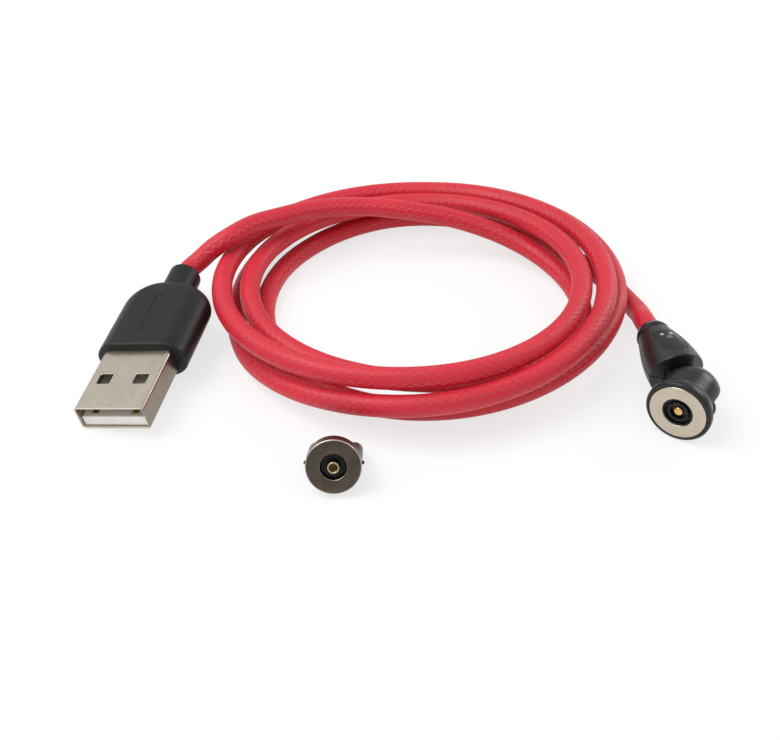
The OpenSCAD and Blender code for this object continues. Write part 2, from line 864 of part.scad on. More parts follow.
module head_housing() {
    color("#262a29")
        at_head()
            difference() {
                union() {
                    rotate([-90, 0, 0])
                        rotate_extrude()
                            polygon([[0, rim_y], [head_d / 2 - rim_edge, rim_y],
                                     [head_d / 2, rim_y + rim_edge], [head_d / 2, rim_wide_y],
                                     [ball_r, rim_back_y], [ball_r, 0], [0, 0]]);
                    sphere(r = ball_r);
                }
                // slot for the hinge tongue
                translate([-head_d, slot_y, -slot_h / 2])
                    cube([2 * head_d, head_d, slot_h]);
                // seats of the ring, the magnet and the board, from the face
                rod(ring_d + 2 * fit, -face_reach - eps, ring_y1 + fit);
                rod(magnet_d + 2 * fit, -face_reach, magnet_y1 + fit);
                rod(magnet_d - 0.4, -face_reach, board_y1 + fit);
                // bores of the two hinge pins
                for (s = [-1, 1])
                    mirror([0, 0, s < 0 ? 1 : 0]) {
                        translate([0, 0, hinge_pin_z0])
                            cylinder(d = hinge_pin_d + 2 * fit, h = hinge_pin_z1 + fit - hinge_pin_z0);
                        // way for the contact leaf from the board to the pin
                        translate([-leaf_w / 2 - seat, board_y1, leaf_z - leaf_h / 2 - seat])
                            cube([leaf_w + 2 * seat, -board_y1, leaf_h + 2 * seat]);
                    }
            }
}

module contact_ring() {
    bevel = 0.12;
    color("silver")
        at_head()
            rotate([-90, 0, 0])
                rotate_extrude()
                    polygon([[ring_hole_d / 2 + bevel, -face_reach], [ring_d / 2 - bevel, -face_reach],
                             [ring_d / 2, -face_reach + bevel], [ring_d / 2, ring_y1],
                             [ring_hole_d / 2, ring_y1], [ring_hole_d / 2, -face_reach + bevel]]);
}

module ring_magnet() {
    color("dimgray") at_head() ring(magnet_d, magnet_hole_d, ring_y1 + fit / 2, magnet_y1);
}

centre_d = ring_hole_d - 2 * fit;
recess_y = -face_reach + 0.7;
collar_d = 3.5;
collar_bore = 2.5;
barrel_d = 2.0;
barrel_bore = pogo_d + 2 * run;
barrel_y0 = recess_y + 0.1;
barrel_y1 = magnet_y1;
barrel_floor = 0.2;
pogo_tip_y = -face_reach + 0.25;
pogo_back_y = barrel_y1 - barrel_floor - pogo_travel - 0.35;

module centre_insulator() {
    color("#101314")
        at_head()
            difference() {
                union() {
                    rod(centre_d, recess_y, magnet_y1);
                    ring(centre_d, centre_d - 0.5, -face_reach + 0.15, recess_y + eps);
                    ring(collar_d, collar_bore, -face_reach + 0.2, recess_y + eps);
                }
                rod(barrel_d + 2 * fit, recess_y - eps, magnet_y1 + eps);
            }
}

module pogo_barrel() {
    color("gold")
        at_head()
            difference() {
                rod(barrel_d, barrel_y0, barrel_y1);
                rod(barrel_bore, barrel_y0 - eps, barrel_y1 - barrel_floor);
            }
}

module pogo_spring() {
    color("silver") at_head() ring(pogo_d - 0.2, pogo_d - 0.6, pogo_back_y, barrel_y1 - barrel_floor);
}

module pogo_plunger() {
    nose = 0.2;
    color("gold")
        at_head()
            rotate([-90, 0, 0])
                rotate_extrude()
                    polygon([[0, pogo_tip_y], [pogo_d / 2 - nose, pogo_tip_y],
                             [pogo_d / 2, pogo_tip_y + nose], [pogo_d / 2, pogo_back_y],
                             [0, pogo_back_y]]);
}

module head_board() {
    color("darkgreen") at_head() rod(magnet_d - 0.4 - 2 * fit, magnet_y1 + fit / 2, board_y1);
}

module head_contact_leaves() {
    color("goldenrod")
        at_head()
            for (s = [-1, 1])
                translate([-leaf_w / 2, board_y1, s * leaf_z - leaf_h / 2])
                    cube([leaf_w, -board_y1 - hinge_pin_d / 2 - fit, leaf_h]);
}

module hinge_pins() {
    color("silver")
        at_head()
            for (s = [-1, 1])
                mirror([0, 0, s < 0 ? 1 : 0])
                    translate([0, 0, hinge_pin_z0])
                        cylinder(d = hinge_pin_d, h = hinge_pin_z1 - hinge_pin_z0);
}

// ---- magnetic tip: y = 0 is its face, +Y runs back into the device plug ---------
lug_out = 0.3;
lug_h = 0.8;
lug_z = 0.5;
tip_floor_y = 0.75;
tip_post_y = -0.4;
tip_bevel = 0.15;
base_y1 = tip_depth;
board_c_w = 5.6;
board_c_h = 1.8;
usbc_wall = 0.25;
usbc_in_w = usbc_w - 2 * usbc_wall;
usbc_in_h = usbc_h - 2 * usbc_wall;
usbc_mouth_w = 6.7;
usbc_mouth_h = 0.8;
usbc_back = base_y1 + usbc_len;
usbc_root = tip_ring_t + 0.25;

module tip_face_ring() {
    color("silver")
        at_tip()
            rotate([-90, 0, 0])
                rotate_extrude()
                    polygon([[tip_hole_d / 2 + tip_bevel, 0], [tip_r - tip_bevel, 0],
                             [tip_r, tip_bevel], [tip_r, tip_ring_t],
                             [tip_hole_d / 2, tip_ring_t], [tip_hole_d / 2, tip_bevel]]);
}

module tip_insulator() {
    color("#141c26")
        at_tip()
            ring(tip_hole_d - 2 * fit, tip_post_d + 2 * fit, tip_floor_y, tip_ring_t);
}

module tip_centre_contact() {
    post_r = tip_post_d / 2;
    color("gold")
        at_tip()
            rotate([-90, 0, 0])
                rotate_extrude()
                    polygon([[0, tip_post_y + tip_bevel], [post_r - 2 * tip_bevel, tip_post_y + tip_bevel],
                             [post_r - tip_bevel, tip_post_y], [post_r, tip_post_y + tip_bevel],
                             [post_r, tip_ring_t], [0, tip_ring_t]]);
}

module tip_base() {
    color("#1d2120")
        at_tip()
            difference() {
                union() {
                    rod(tip_d, tip_ring_t, base_y1);
                    // small lug each side that locates the tip in its plug
                    translate([-tip_r - lug_out, tip_ring_t, lug_z - lug_h / 2])
                        cube([tip_d + 2 * lug_out, tip_base_t, lug_h]);
                }
                along_y(tip_ring_t - eps, usbc_root)
                    square([board_c_w + 2 * seat, board_c_h + 2 * seat], center = true);
                along_y(usbc_root - eps, base_y1 + eps)
                    stadium(usbc_in_w, usbc_in_h);
            }
}

module tip_board() {
    color("darkgreen")
        at_tip()
            along_y(tip_ring_t + seat / 2, usbc_root - seat / 2)
                square([board_c_w, board_c_h], center = true);
}

module tip_plug_shell() {
    color("silver")
        at_tip()
            along_y(base_y1, usbc_back)
                difference() {
                    stadium(usbc_w, usbc_h);
                    stadium(usbc_in_w, usbc_in_h);
                }
}

module tip_plug_insulator() {
    color("#1d2120")
        at_tip()
            difference() {
                along_y(usbc_root, usbc_back - 0.3)
                    stadium(usbc_in_w - 2 * fit, usbc_in_h - 2 * fit);
                along_y(base_y1 + 1, usbc_back)
                    square([usbc_mouth_w, usbc_mouth_h], center = true);
            }
}

module tip_plug_contacts() {
    contact_pitch = 0.5;
    contact_count = 12;
    contact_size = [0.25, 3.6, 0.1];
    color("gold")
        at_tip()
            for (i = [0:1:contact_count - 1], s = [-1, 1])
                translate([(i - (contact_count - 1) / 2) * contact_pitch, base_y1 + 3.4,
                           s * (usbc_mouth_h / 2 - contact_size[2] / 2)])
                    cube(contact_size, center = true);
}

usb_shell();
usb_tongue();
usb_power_contact();
usb_ground_contact();
plug_inner_mould();
plug_power_wire();
plug_ground_wire();
plug_solder_joints();
plug_housing();
cord_plug_lead();
cord_coil();
cord_head_lead();
head_collar();
swivel_spindle();
spindle_insulator();
spindle_centre_pin();
sleeve_upper_shell();
sleeve_lower_shell();
indicator_panel();
indicator_lenses();
indicator_leds();
led_board();
ground_brush();
power_brush();
hinge_tongue();
hinge_bushes();
sleeve_power_wire();
sleeve_ground_wire();
head_housing();
contact_ring();
ring_magnet();
centre_insulator();
pogo_barrel();
pogo_spring();
head_board();
head_contact_leaves();
hinge_pins();
pogo_plunger();
tip_face_ring();
tip_insulator();
tip_centre_contact();
tip_base();
tip_board();
tip_plug_shell();
tip_plug_insulator();
tip_plug_contacts();
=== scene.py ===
"""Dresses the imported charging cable: camera, light, shapes and finishes.

Pieces are drawn in millimetres in the directions of the part that carries them
and are then carried to their place in the frame, in metres.
"""

from __future__ import annotations

import logging
import math
from collections.abc import Iterable, Sequence
from dataclasses import dataclass, field
from enum import Enum

import bmesh
import bpy
from mathutils import Matrix, Vector

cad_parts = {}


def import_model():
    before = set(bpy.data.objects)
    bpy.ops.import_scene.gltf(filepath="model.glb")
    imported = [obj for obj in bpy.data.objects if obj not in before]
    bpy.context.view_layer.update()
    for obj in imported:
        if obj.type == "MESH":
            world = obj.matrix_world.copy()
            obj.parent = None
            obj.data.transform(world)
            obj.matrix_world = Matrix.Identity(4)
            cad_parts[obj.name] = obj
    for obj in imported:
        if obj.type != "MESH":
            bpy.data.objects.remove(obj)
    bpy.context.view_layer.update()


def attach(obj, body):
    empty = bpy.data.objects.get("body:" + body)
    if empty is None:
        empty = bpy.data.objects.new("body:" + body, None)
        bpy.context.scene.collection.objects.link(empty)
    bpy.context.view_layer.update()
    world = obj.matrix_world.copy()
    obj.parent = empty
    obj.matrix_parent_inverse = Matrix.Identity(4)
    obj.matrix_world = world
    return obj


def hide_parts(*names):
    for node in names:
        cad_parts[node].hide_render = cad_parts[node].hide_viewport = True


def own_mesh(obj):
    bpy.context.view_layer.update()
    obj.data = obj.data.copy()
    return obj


log = logging.getLogger("charging_cable")

MM = 0.001
# Gaps in millimetres: between pieces that touch, and round what is seated in another.
FIT = 0.03
SEAT = 0.05
# Points closer together than this are one, and the same where the mesh is coarser.
MERGE = 1e-5
NEAR = 1e-4
# A direction whose share along an axis is over this runs along it.
ALONG = 0.9
# Edges sharper than this angle in degrees stay sharp.
CREASE = 38.0
CORD_CREASE = 50.0

CORD_D = 3.6
CORD_START = 26.45

Point = tuple[float, float, float]
Pair = tuple[float, float]
Profile = list[Pair]
Solid = bmesh.types.BMesh
Tree = bpy.types.NodeTree
Socket = bpy.types.NodeSocket


class Body(Enum):
    """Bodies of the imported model."""

    CORD_AND_PLUG = "cord_and_plug"
    SLEEVE = "sleeve"
    HEAD = "head"
    CENTRE_PIN = "centre_pin"
    TIP = "tip"


class Slot(Enum):
    """Material slots of the record."""

    PLUG_STEEL = "plug_steel"
    CONTACT_GOLD = "contact_gold"
    TONGUE = "tongue_plastic"
    HOUSING = "housing_plastic"
    PREMOULD = "premould_plastic"
    JACKET = "cord_jacket"
    POWER_WIRE = "power_wire"
    GROUND_WIRE = "ground_wire"
    SOLDER = "solder"
    SPINDLE_BRASS = "spindle_brass"
    INSULATOR_BLACK = "insulator_black"
    INSULATOR_WHITE = "insulator_white"
    PANEL = "panel_plastic"
    LIGHT_PIPE = "light_pipe"
    LAMP = "lamp"
    BOARD = "circuit_board"
    RING_NICKEL = "ring_nickel"
    MAGNET = "magnet_nickel"
    SPRING = "spring_steel"
    PIN_STEEL = "pin_steel"


class Cut(Enum):
    """How one solid is combined with another."""

    TAKE = "DIFFERENCE"
    KEEP = "INTERSECT"
    JOIN = "UNION"


# ---- seats -------------------------------------------------------------------


def seat(at: Point, yaw: float = 0.0, pitch: float = 0.0, roll: float = 0.0) -> Matrix:
    """Matrix from a part's own directions in millimetres to the frame in metres.

    Args:
        at: where the part's origin lies, in millimetres.
        yaw: turn about Z in degrees.
        pitch: tilt of its axis in degrees.
        roll: roll about its axis in degrees, right side up.

    Returns:
        The matrix that carries the part's meshes to their place.
    """
    turn = (
        Matrix.Rotation(math.radians(yaw), 4, "Z")
        @ Matrix.Rotation(math.radians(pitch), 4, "X")
        @ Matrix.Rotation(math.radians(-roll), 4, "Y")
    )
    return Matrix.Scale(MM, 4) @ Matrix.Translation(at) @ turn


@dataclass(frozen=True)
class Layout:
    """Where the plug, the sleeve, the head and the tip lie."""

    plug_at: Pair = (-45.0, -10.4)
    plug_yaw: float = -11.0
    plug_roll: float = 10.0
    shell: tuple[float, float, float] = (12.0, 4.5, 0.6)
    moulding: tuple[float, float, float] = (16.0, 7.6, 3.6)
    shell_out: float = 13.4
    head_at: Point = (45.8, -7.3, 5.3)
    sleeve_yaw: float = 10.0
    head_bend: float = 44.0
    tip_at: Pair = (-9.8, -23.3)
    tip_r: float = 4.2
    tip_depth: float = 2.3
    usbc_h: float = 2.56
    usbc_len: float = 6.3

    def drop(self, outline: tuple[float, float, float]) -> float:
        """Depth of a rolled, rounded rectangle's lowest point below its middle.

        Args:
            outline: whole width, whole height and corner radius.

        Returns:
            The depth in millimetres.
        """
        w, h, r = outline
        roll = math.radians(self.plug_roll)
        return (w / 2 - r) * math.sin(roll) + (h / 2 - r) * math.cos(roll) + r

    def plug(self) -> Matrix:
        """Seat of the plug: its nose and its housing rest on the surface.

        Returns:
            The matrix from the plug's own frame to the part's.
        """
        nose, heel = self.drop(self.shell), self.drop(self.moulding)
        pitch = math.atan((heel - nose) / self.shell_out)
        at = (*self.plug_at, nose * math.cos(pitch))
        return seat(at, self.plug_yaw, math.degrees(pitch), self.plug_roll)

    def sleeve(self) -> Matrix:
        """Seat of the sleeve, at the hinge."""
        return seat(self.head_at, self.sleeve_yaw)

    def head(self) -> Matrix:
        """Seat of the head, at the hinge."""
        return seat(self.head_at, self.sleeve_yaw - self.head_bend)

    def tip(self) -> Matrix:
        """Seat of the tip: its face ring and its plug's nose rest on the surface.

        Returns:
            The matrix from the tip's own frame to the part's.
        """
        lean = math.atan((self.tip_r - self.usbc_h / 2) / self.usbc_len)
        height = self.tip_r * math.cos(lean) + self.tip_depth * math.sin(lean)
        return seat((*self.tip_at, height), pitch=-math.degrees(lean))


LAYOUT = Layout()


# ---- mesh helpers ------------------------------------------------------------


def arc(steps: int, turn: float = math.pi / 2) -> list[Pair]:
    """Sine and cosine in even steps along a quarter turn or another arc."""
    return [(math.sin(turn * i / steps), math.cos(turn * i / steps)) for i in range(steps + 1)]


def rounded_corner(before: Pair, at: Pair, after: Pair, radius: float, steps: int = 6) -> Profile:
    """Points of the arc that rounds one corner of a profile.

    Args:
        before: the profile's point before the corner.
        at: the corner.
        after: the point after it.
        radius: radius of the round.
        steps: chords of the arc.

    Returns:
        The arc's points, in order.
    """
    corner = Vector(at)
    a = (Vector(before) - corner).normalized()
    b = (Vector(after) - corner).normalized()
    half = a.angle(b) / 2
    reach = radius / math.tan(half)
    middle = corner + (a + b).normalized() * (radius / math.sin(half))
    start, stop = corner + a * reach - middle, corner + b * reach - middle
    return [tuple(middle + start.slerp(stop, i / steps) * radius) for i in range(steps + 1)]


def profile(points: Sequence[tuple[float, ...]], closed: bool) -> Profile:
    """The (radius, y) points of a lathe profile, with its corners rounded.

    Args:
        points: (radius, y) or (radius, y, corner radius).
        closed: whether the profile is a loop, so that its ends are rounded too.

    Returns:
        The points with each round corner as a row of chords.
    """
    out: Profile = []
    last = len(points) - 1
    for i, point in enumerate(points):
        if len(point) == 2 or (not closed and i in (0, last)):
            out.append(point[:2])
            continue
        before, after = points[i - 1], points[(i + 1) % len(points)]
        out += rounded_corner(before[:2], point[:2], after[:2], point[2])
    return out


def lathe(*points: tuple[float, ...], steps: int = 96, closed: bool = True) -> Solid:
    """Turns a profile round the Y axis.

    Args:
        points: (radius, y) or (radius, y, corner radius).
        steps: chords of a full turn.
        closed: whether the profile is a loop, as a ring's is.

    Returns:
        The turned solid.
    """
    bm = bmesh.new()
    verts = [bm.verts.new((r, y, 0.0)) for r, y in profile(points, closed)]
    ends = verts[1:] + verts[:1] if closed else verts[1:]
    edges = [bm.edges.new(pair) for pair in zip(verts, ends)]
    bmesh.ops.spin(
        bm,
        geom=verts + edges,
        cent=(0, 0, 0),
        axis=(0, 1, 0),
        angle=math.tau,
        steps=steps,
        use_merge=True,
        use_duplicate=False,
    )
    bmesh.ops.remove_doubles(bm, verts=bm.verts, dist=MERGE)
    bmesh.ops.recalc_face_normals(bm, faces=bm.faces)
    return bm


@dataclass(frozen=True)
class Section:
    """Outline across a lofted piece: its place, half sizes, corner radius and crown."""

    y: float
    half_w: float
    half_h: float
    corner: float
    crown: float = 0.0

    @classmethod
    def circle(cls, y: float, radius: float) -> Section:
        """A round outline."""
        return cls(y, radius, radius, radius)

    def place(self, unit: Vector) -> Vector:
        """Where a point of the unit circle goes on the outline.

        Args:
            unit: point of the unit circle in x and z.

        Returns:
            The point in millimetres.
        """
        x = math.copysign(self.half_w - self.corner, unit.x) + self.corner * unit.x
        z = math.copysign(self.half_h - self.corner, unit.z) + self.corner * unit.z
        return Vector((x, self.y, z * (1 - self.crown * (x / self.half_w) ** 2)))


def loft(sections: Sequence[Section], sides: int = 96) -> Solid:
    """Skins a row of outlines by extruding a ring from each to the next.

    Args:
        sections: the outlines, in order; a hollow piece comes back to the first.
        sides: points of each outline, a multiple of four.

    Returns:
        The skin, closed by faces where it doesn't come back to its start.
    """
    bm = bmesh.new()
    unit = bm.verts.layers.float_vector.new("unit")
    half_step = Matrix.Rotation(math.pi / sides, 4, "Y")
    ring = bmesh.ops.create_circle(
        bm,
        segments=sides,
        radius=1.0,
        matrix=half_step @ Matrix.Rotation(math.pi / 2, 4, "X"),
    )["verts"]
    for vert in ring:
        vert[unit] = vert.co
        vert.co = sections[0].place(vert[unit])
    edges = list(bm.edges)
    for section in sections[1:]:
        made = bmesh.ops.extrude_edge_only(bm, edges=edges)["geom"]
        fresh = {g for g in made if isinstance(g, bmesh.types.BMVert)}
        edges = [g for g in made if isinstance(g, bmesh.types.BMEdge) and set(g.verts) <= fresh]
        for vert in fresh:
            vert.co = section.place(vert[unit])
    bmesh.ops.remove_doubles(bm, verts=bm.verts, dist=MERGE)
    rims = [edge for edge in bm.edges if edge.is_boundary]
    if rims:
        bmesh.ops.holes_fill(bm, edges=rims, sides=0)
    bmesh.ops.recalc_face_normals(bm, faces=bm.faces)
    return bm


def block(low: Point, high: Point, edge: float = 0.0, segments: int = 3) -> Solid:
    """A block between two corners, with a bevel of a width and segments on its edges.

    Args:
        low: corner with the smallest coordinates.
        high: corner with the largest ones.
        edge: width of the bevel, or 0 for sharp edges.
        segments: steps of the bevel.

    Returns:
        The block.
    """
    bm = bmesh.new()
    size = Matrix.Diagonal((*[h - l for l, h in zip(low, high)], 1))
    middle = Matrix.Translation([(h + l) / 2 for l, h in zip(low, high)])
    bmesh.ops.create_cube(bm, size=1.0, matrix=middle @ size)
    if edge:
        soften(bm, list(bm.edges), edge, segments)
    return bm


def slab(width: float, y0: float, y1: float, height: float) -> Solid:
    """A block that lies evenly round the Y axis."""
    return block((-width / 2, y0, -height / 2), (width / 2, y1, height / 2))


def bar(radius: float, at: Pair, low: float, high: float, sides: int = 32) -> Solid:
    """A round bar along Z at a place, from low to high.

    Args:
        radius: radius of the bar.
        at: x and y of its axis.
        low: z of its lower end.
        high: z of its upper end.
        sides: chords of its outline.

    Returns:
        The bar.
    """
    bm = bmesh.new()
    bmesh.ops.create_cone(
        bm,
        cap_ends=True,
        segments=sides,
        radius1=radius,
        radius2=radius,
        depth=high - low,
        matrix=Matrix.Translation((*at, (high + low) / 2)),
    )
    return bm


def soften(bm: Solid, edges: list, width: float, segments: int) -> None:
    """Rounds edges by a small bevel.

    Args:
        bm: solid that is changed.
        edges: edges to round.
        width: width of the bevel.
        segments: steps of the bevel.
    """
    bmesh.ops.bevel(
        bm,
        geom=edges,
        offset=width,
        offset_type="OFFSET",
        segments=segments,
        profile=0.5,
        affect="EDGES",
        material=-1,
        clamp_overlap=True,
    )


def sharp_edges(bm: Solid, angle: float) -> list:
    """Edges whose faces meet at more than an angle in degrees."""
    limit = math.radians(angle)
    return [e for e in bm.edges if e.is_manifold and e.calc_face_angle(0.0) > limit]


def turned(bm: Solid, matrix: Matrix) -> Solid:
    """The same solid, carried by a matrix."""
    bmesh.ops.transform(bm, matrix=matrix, verts=bm.verts)
    return bm


def mesh_of(bm: Solid, name: str) -> bpy.types.Mesh:
    """The mesh of a solid, which is used up.

    Args:
        bm: solid that is freed.
        name: name of the mesh.

    Returns:
        The new mesh.
    """
    mesh = bpy.data.meshes.new(name)
    bm.to_mesh(mesh)
    bm.free()
    return mesh


def solid_of(mesh: bpy.types.Mesh) -> Solid:
    """The solid of a mesh, which is used up.

    Args:
        mesh: mesh that is removed.

    Returns:
        The new solid.
    """
    bm = bmesh.new()
    bm.from_mesh(mesh)
    bpy.data.meshes.remove(mesh)
    return bm


def placed(name: str, data: bpy.types.ID) -> bpy.types.Object:
    """A new object of the scene that holds some data.

    Args:
        name: name of the object.
        data: what it holds.

    Returns:
        The linked object.
    """
    obj = bpy.data.objects.new(name, data)
    bpy.context.scene.collection.objects.link(obj)
    return obj


def evaluated_mesh(obj: bpy.types.Object) -> bpy.types.Mesh:
    """The mesh of an object with its modifiers or its bevel worked in."""
    depsgraph = bpy.context.evaluated_depsgraph_get()
    return bpy.data.meshes.new_from_object(obj.evaluated_get(depsgraph))


def joined(parts: Iterable[Solid]) -> Solid:
    """Several separate solids in one.

    Args:
        parts: solids that are used up.

    Returns:
        The one solid.
    """
    whole = bmesh.new()
    for part in parts:
        mesh = mesh_of(part, "part")
        whole.from_mesh(mesh)
        bpy.data.meshes.remove(mesh)
    return whole


def tube(path: Sequence[Vector], radius: float, sides: int) -> bpy.types.Mesh:
    """A round tube with closed ends along a path.

    Args:
        path: points of its middle line, in the same unit as radius.
        radius: radius of the tube.
        sides: points round it, a multiple of four.

    Returns:
        The tube's mesh.
    """
    curve = bpy.data.curves.new("line", "CURVE")
    curve.dimensions = "3D"
    curve.twist_mode = "MINIMUM"
    curve.bevel_depth = radius
    curve.bevel_resolution = sides // 4 * 2 - 2
    curve.use_fill_caps = True
    spline = curve.splines.new("POLY")
    spline.points.add(len(path) - 1)
    for point, at in zip(spline.points, path):
        point.co = (*at, 1.0)
    holder = placed("line", curve)
    mesh = evaluated_mesh(holder)
    bpy.data.objects.remove(holder)
    bpy.data.curves.remove(curve)
    return mesh


def carve(
    body: Solid,
    cuts: Sequence[tuple[Cut, Solid]],
    voxel: float = 0.0,
    relax: int = 0,
) -> Solid:
    """Cuts, keeps or joins solids, and can run the edges soft as a mould does.

    Args:
        body: the solid to work on.
        cuts: each tool with what it does.
        voxel: cell of the skin made afresh in millimetres, or 0 to keep it.
        relax: smoothing rounds of that skin.

    Returns:
        The finished solid.
    """
    host, *tools = [placed("bench", mesh_of(bm, "bench")) for bm in (body, *[c[1] for c in cuts])]
    for (how, _), tool in zip(cuts, tools):
        mod = host.modifiers.new("cut", "BOOLEAN")
        mod.operation = how.value
        mod.solver = "EXACT"
        mod.object = tool
    if voxel:
        mod = host.modifiers.new("skin", "REMESH")
        mod.mode = "VOXEL"
        mod.voxel_size = voxel
    out = solid_of(evaluated_mesh(host))
    for obj in (host, *tools):
        spent = obj.data
        bpy.data.objects.remove(obj)
        bpy.data.meshes.remove(spent)
    for _ in range(relax):
        bmesh.ops.smooth_vert(
            out, verts=out.verts, factor=0.5, use_axis_x=True, use_axis_y=True, use_axis_z=True
        )
    return out


def make_piece(
    bm: Solid, name: str, place: Matrix, body: Body, finish: Finish, node: str
) -> bpy.types.Object:
    """Turns a solid into a finished piece of the cable.

    Args:
        bm: its solid in millimetres; it is used up.
        name: the piece's name.
        place: seat of the part that carries it.
        body: the body that it rides on.
        finish: its finish.
        node: the CAD node that it stands for.

    Returns:
        The piece.
    """
    mesh = mesh_of(turned(bm, place), name)
    mesh.shade_smooth()
    mesh.set_sharp_from_angle(angle=math.radians(CREASE))
    mesh.materials.append(finish.material())
    obj = placed(name, mesh)
    obj.modifiers.new("even normals", "WEIGHTED_NORMAL").keep_sharp = True
    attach(obj, body.value)
    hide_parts(node)
    log.info("%s: %d faces on %s", name, len(mesh.polygons), body.value)
    return obj


# ---- finishes ----------------------------------------------------------------


def linear(code: str) -> tuple[float, float, float, float]:
    """Linear RGBA of an sRGB hex colour."""
    channels = [int(code[i : i + 2], 16) / 255 for i in (1, 3, 5)]
    return (*[c / 12.92 if c <= 0.04045 else ((c + 0.055) / 1.055) ** 2.4 for c in channels], 1.0)


def add_node(
    tree: Tree,
    kind: str,
    inputs: dict[str | int, object] | None = None,
    **settings: object,
) -> bpy.types.Node:
    """Adds a node with its settings and inputs.

    Args:
        tree: the node tree.
        kind: the node's type name.
        inputs: for each socket, by name or place, a value or a socket to link.
        settings: the node's own properties.

    Returns:
        The new node.
    """
    node = tree.nodes.new(kind)
    for name, value in settings.items():
        setattr(node, name, value)
    for key, value in (inputs or {}).items():
        if isinstance(value, Socket):
            tree.links.new(value, node.inputs[key])
        else:
            node.inputs[key].default_value = value
    return node


def reckon(tree: Tree, how: str, *values: Socket | float) -> Socket:
    """One step of arithmetic on sockets or numbers."""
    return add_node(tree, "ShaderNodeMath", dict(enumerate(values)), operation=how).outputs[0]


def ranged(
    tree: Tree, value: Socket, source: Pair, target: Pair = (0.0, 1.0), how: str = "SMOOTHSTEP"
) -> Socket:
    """A value carried from one span to another, smoothly unless how says otherwise.

    Args:
        tree: node tree of the material.
        value: value to carry over.
        source: span it comes from.
        target: span it goes to.
        how: the node's interpolation.

    Returns:
        The carried value.
    """
    spans = dict(zip(("From Min", "From Max", "To Min", "To Max"), (*source, *target)))
    return add_node(
        tree, "ShaderNodeMapRange", {"Value": value, **spans}, interpolation_type=how
    ).outputs[0]


def mixed(tree: Tree, share: Socket, one: object, other: object) -> Socket:
    """One colour run into another by a share, each a socket or RGBA.

    Args:
        tree: node tree of the material.
        share: how much of the other colour shows, from 0 to 1.
        one: colour at 0.
        other: colour at 1.

    Returns:
        The mixed colour.
    """
    return add_node(
        tree, "ShaderNodeMix", {0: share, 6: one, 7: other}, data_type="RGBA"
    ).outputs[2]


def axis(tree: Tree, place: Socket, name: str) -> Socket:
    """One coordinate of a place."""
    return add_node(tree, "ShaderNodeSeparateXYZ", {0: place}).outputs[name]


# Where most values of a noise lie.
NOISE_SPAN = (0.3, 0.7)


@dataclass(frozen=True)
class Finish:
    """A finish with soft tone changes, an uneven gloss and a fine grain."""

    name: str
    slot: Slot
    colour: str
    second: str
    blotch: float = 1.5
    gloss: Pair = (0.4, 0.5)
    metallic: float = 0.0
    specular: float = 0.5
    grain: float = 0.15
    depth: float = 0.004
    gloss_patch: float = 0.4

    def place(self, tree: Tree) -> Socket:
        """Object coordinates in millimetres.

        Args:
            tree: node tree of the material.

        Returns:
            The coordinates, as a vector socket.
        """
        coords = add_node(tree, "ShaderNodeTexCoord").outputs["Object"]
        return add_node(
            tree, "ShaderNodeVectorMath", {0: coords, "Scale": 1 / MM}, operation="SCALE"
        ).outputs[0]

    def cloud(self, tree: Tree, place: Socket, size: float, detail: float = 2.0) -> Socket:
        """Noise whose patches are size millimetres across.

        Args:
            tree: node tree of the material.
            place: where the pattern is read, in millimetres.
            size: width of a patch.
            detail: how finely the patches break up.

        Returns:
            The noise, from 0 to 1.
        """
        return add_node(
            tree, "ShaderNodeTexNoise", {"Vector": place, "Scale": 1 / size, "Detail": detail}
        ).outputs["Fac"]

    def patches(
        self, tree: Tree, place: Socket, size: float, span: Pair, detail: float = 3.0
    ) -> Socket:
        """Soft patches whose value runs over a span."""
        return ranged(tree, self.cloud(tree, place, size, detail), NOISE_SPAN, span, "LINEAR")

    def tone(self, tree: Tree, place: Socket) -> Socket:
        """Colour: two close tones in soft patches."""
        share = self.patches(tree, place, self.blotch, (0.0, 1.0))
        return mixed(tree, share, linear(self.colour), linear(self.second))

    def relief(self, tree: Tree, place: Socket) -> Socket:
        """Height of the surface's grain, from 0 to 1."""
        return self.cloud(tree, place, self.grain)

    def shine(self, tree: Tree, place: Socket) -> Socket:
        """Roughness, uneven over the surface."""
        return self.patches(tree, place, self.blotch * self.gloss_patch, self.gloss)

    def material(self) -> bpy.types.Material:
        """The finish as a material, made once.

        Returns:
            The material, with its colour, gloss and relief linked.
        """
        made = bpy.data.materials.get(self.name)
        if made:
            return made
        made = bpy.data.materials.new(self.name)
        made.use_nodes = True
        tree = made.node_tree
        tree.nodes.clear()
        place = self.place(tree)
        bump = add_node(
            tree,
            "ShaderNodeBump",
            {"Height": self.relief(tree, place), "Strength": 1.0, "Distance": self.depth * MM},
        )
        shader = add_node(
            tree,
            "ShaderNodeBsdfPrincipled",
            {
                "Base Color": self.tone(tree, place),
                "Roughness": self.shine(tree, place),
                "Metallic": self.metallic,
                "Specular IOR Level": self.specular,
                "Normal": bump.outputs["Normal"],
            },
        )
        add_node(tree, "ShaderNodeOutputMaterial", {"Surface": shader.outputs[0]})
        return made


@dataclass(frozen=True)
class SparkPlastic(Finish):
    """Moulded plastic with the fine even grit of a spark-eroded mould."""

    grit: float = 0.16

    def relief(self, tree: Tree, place: Socket) -> Socket:
        """Rounded grit with a finer one between.

        Args:
            tree: node tree of the material.
            place: where the pattern is read, in millimetres.

        Returns:
            The height, as a socket.
        """
        cells = add_node(
            tree,
            "ShaderNodeTexVoronoi",
            {"Vector": place, "Scale": 1 / self.grit},
            feature="SMOOTH_F1",
        ).outputs["Distance"]
        return reckon(tree, "ADD", cells, super().relief(tree, place))


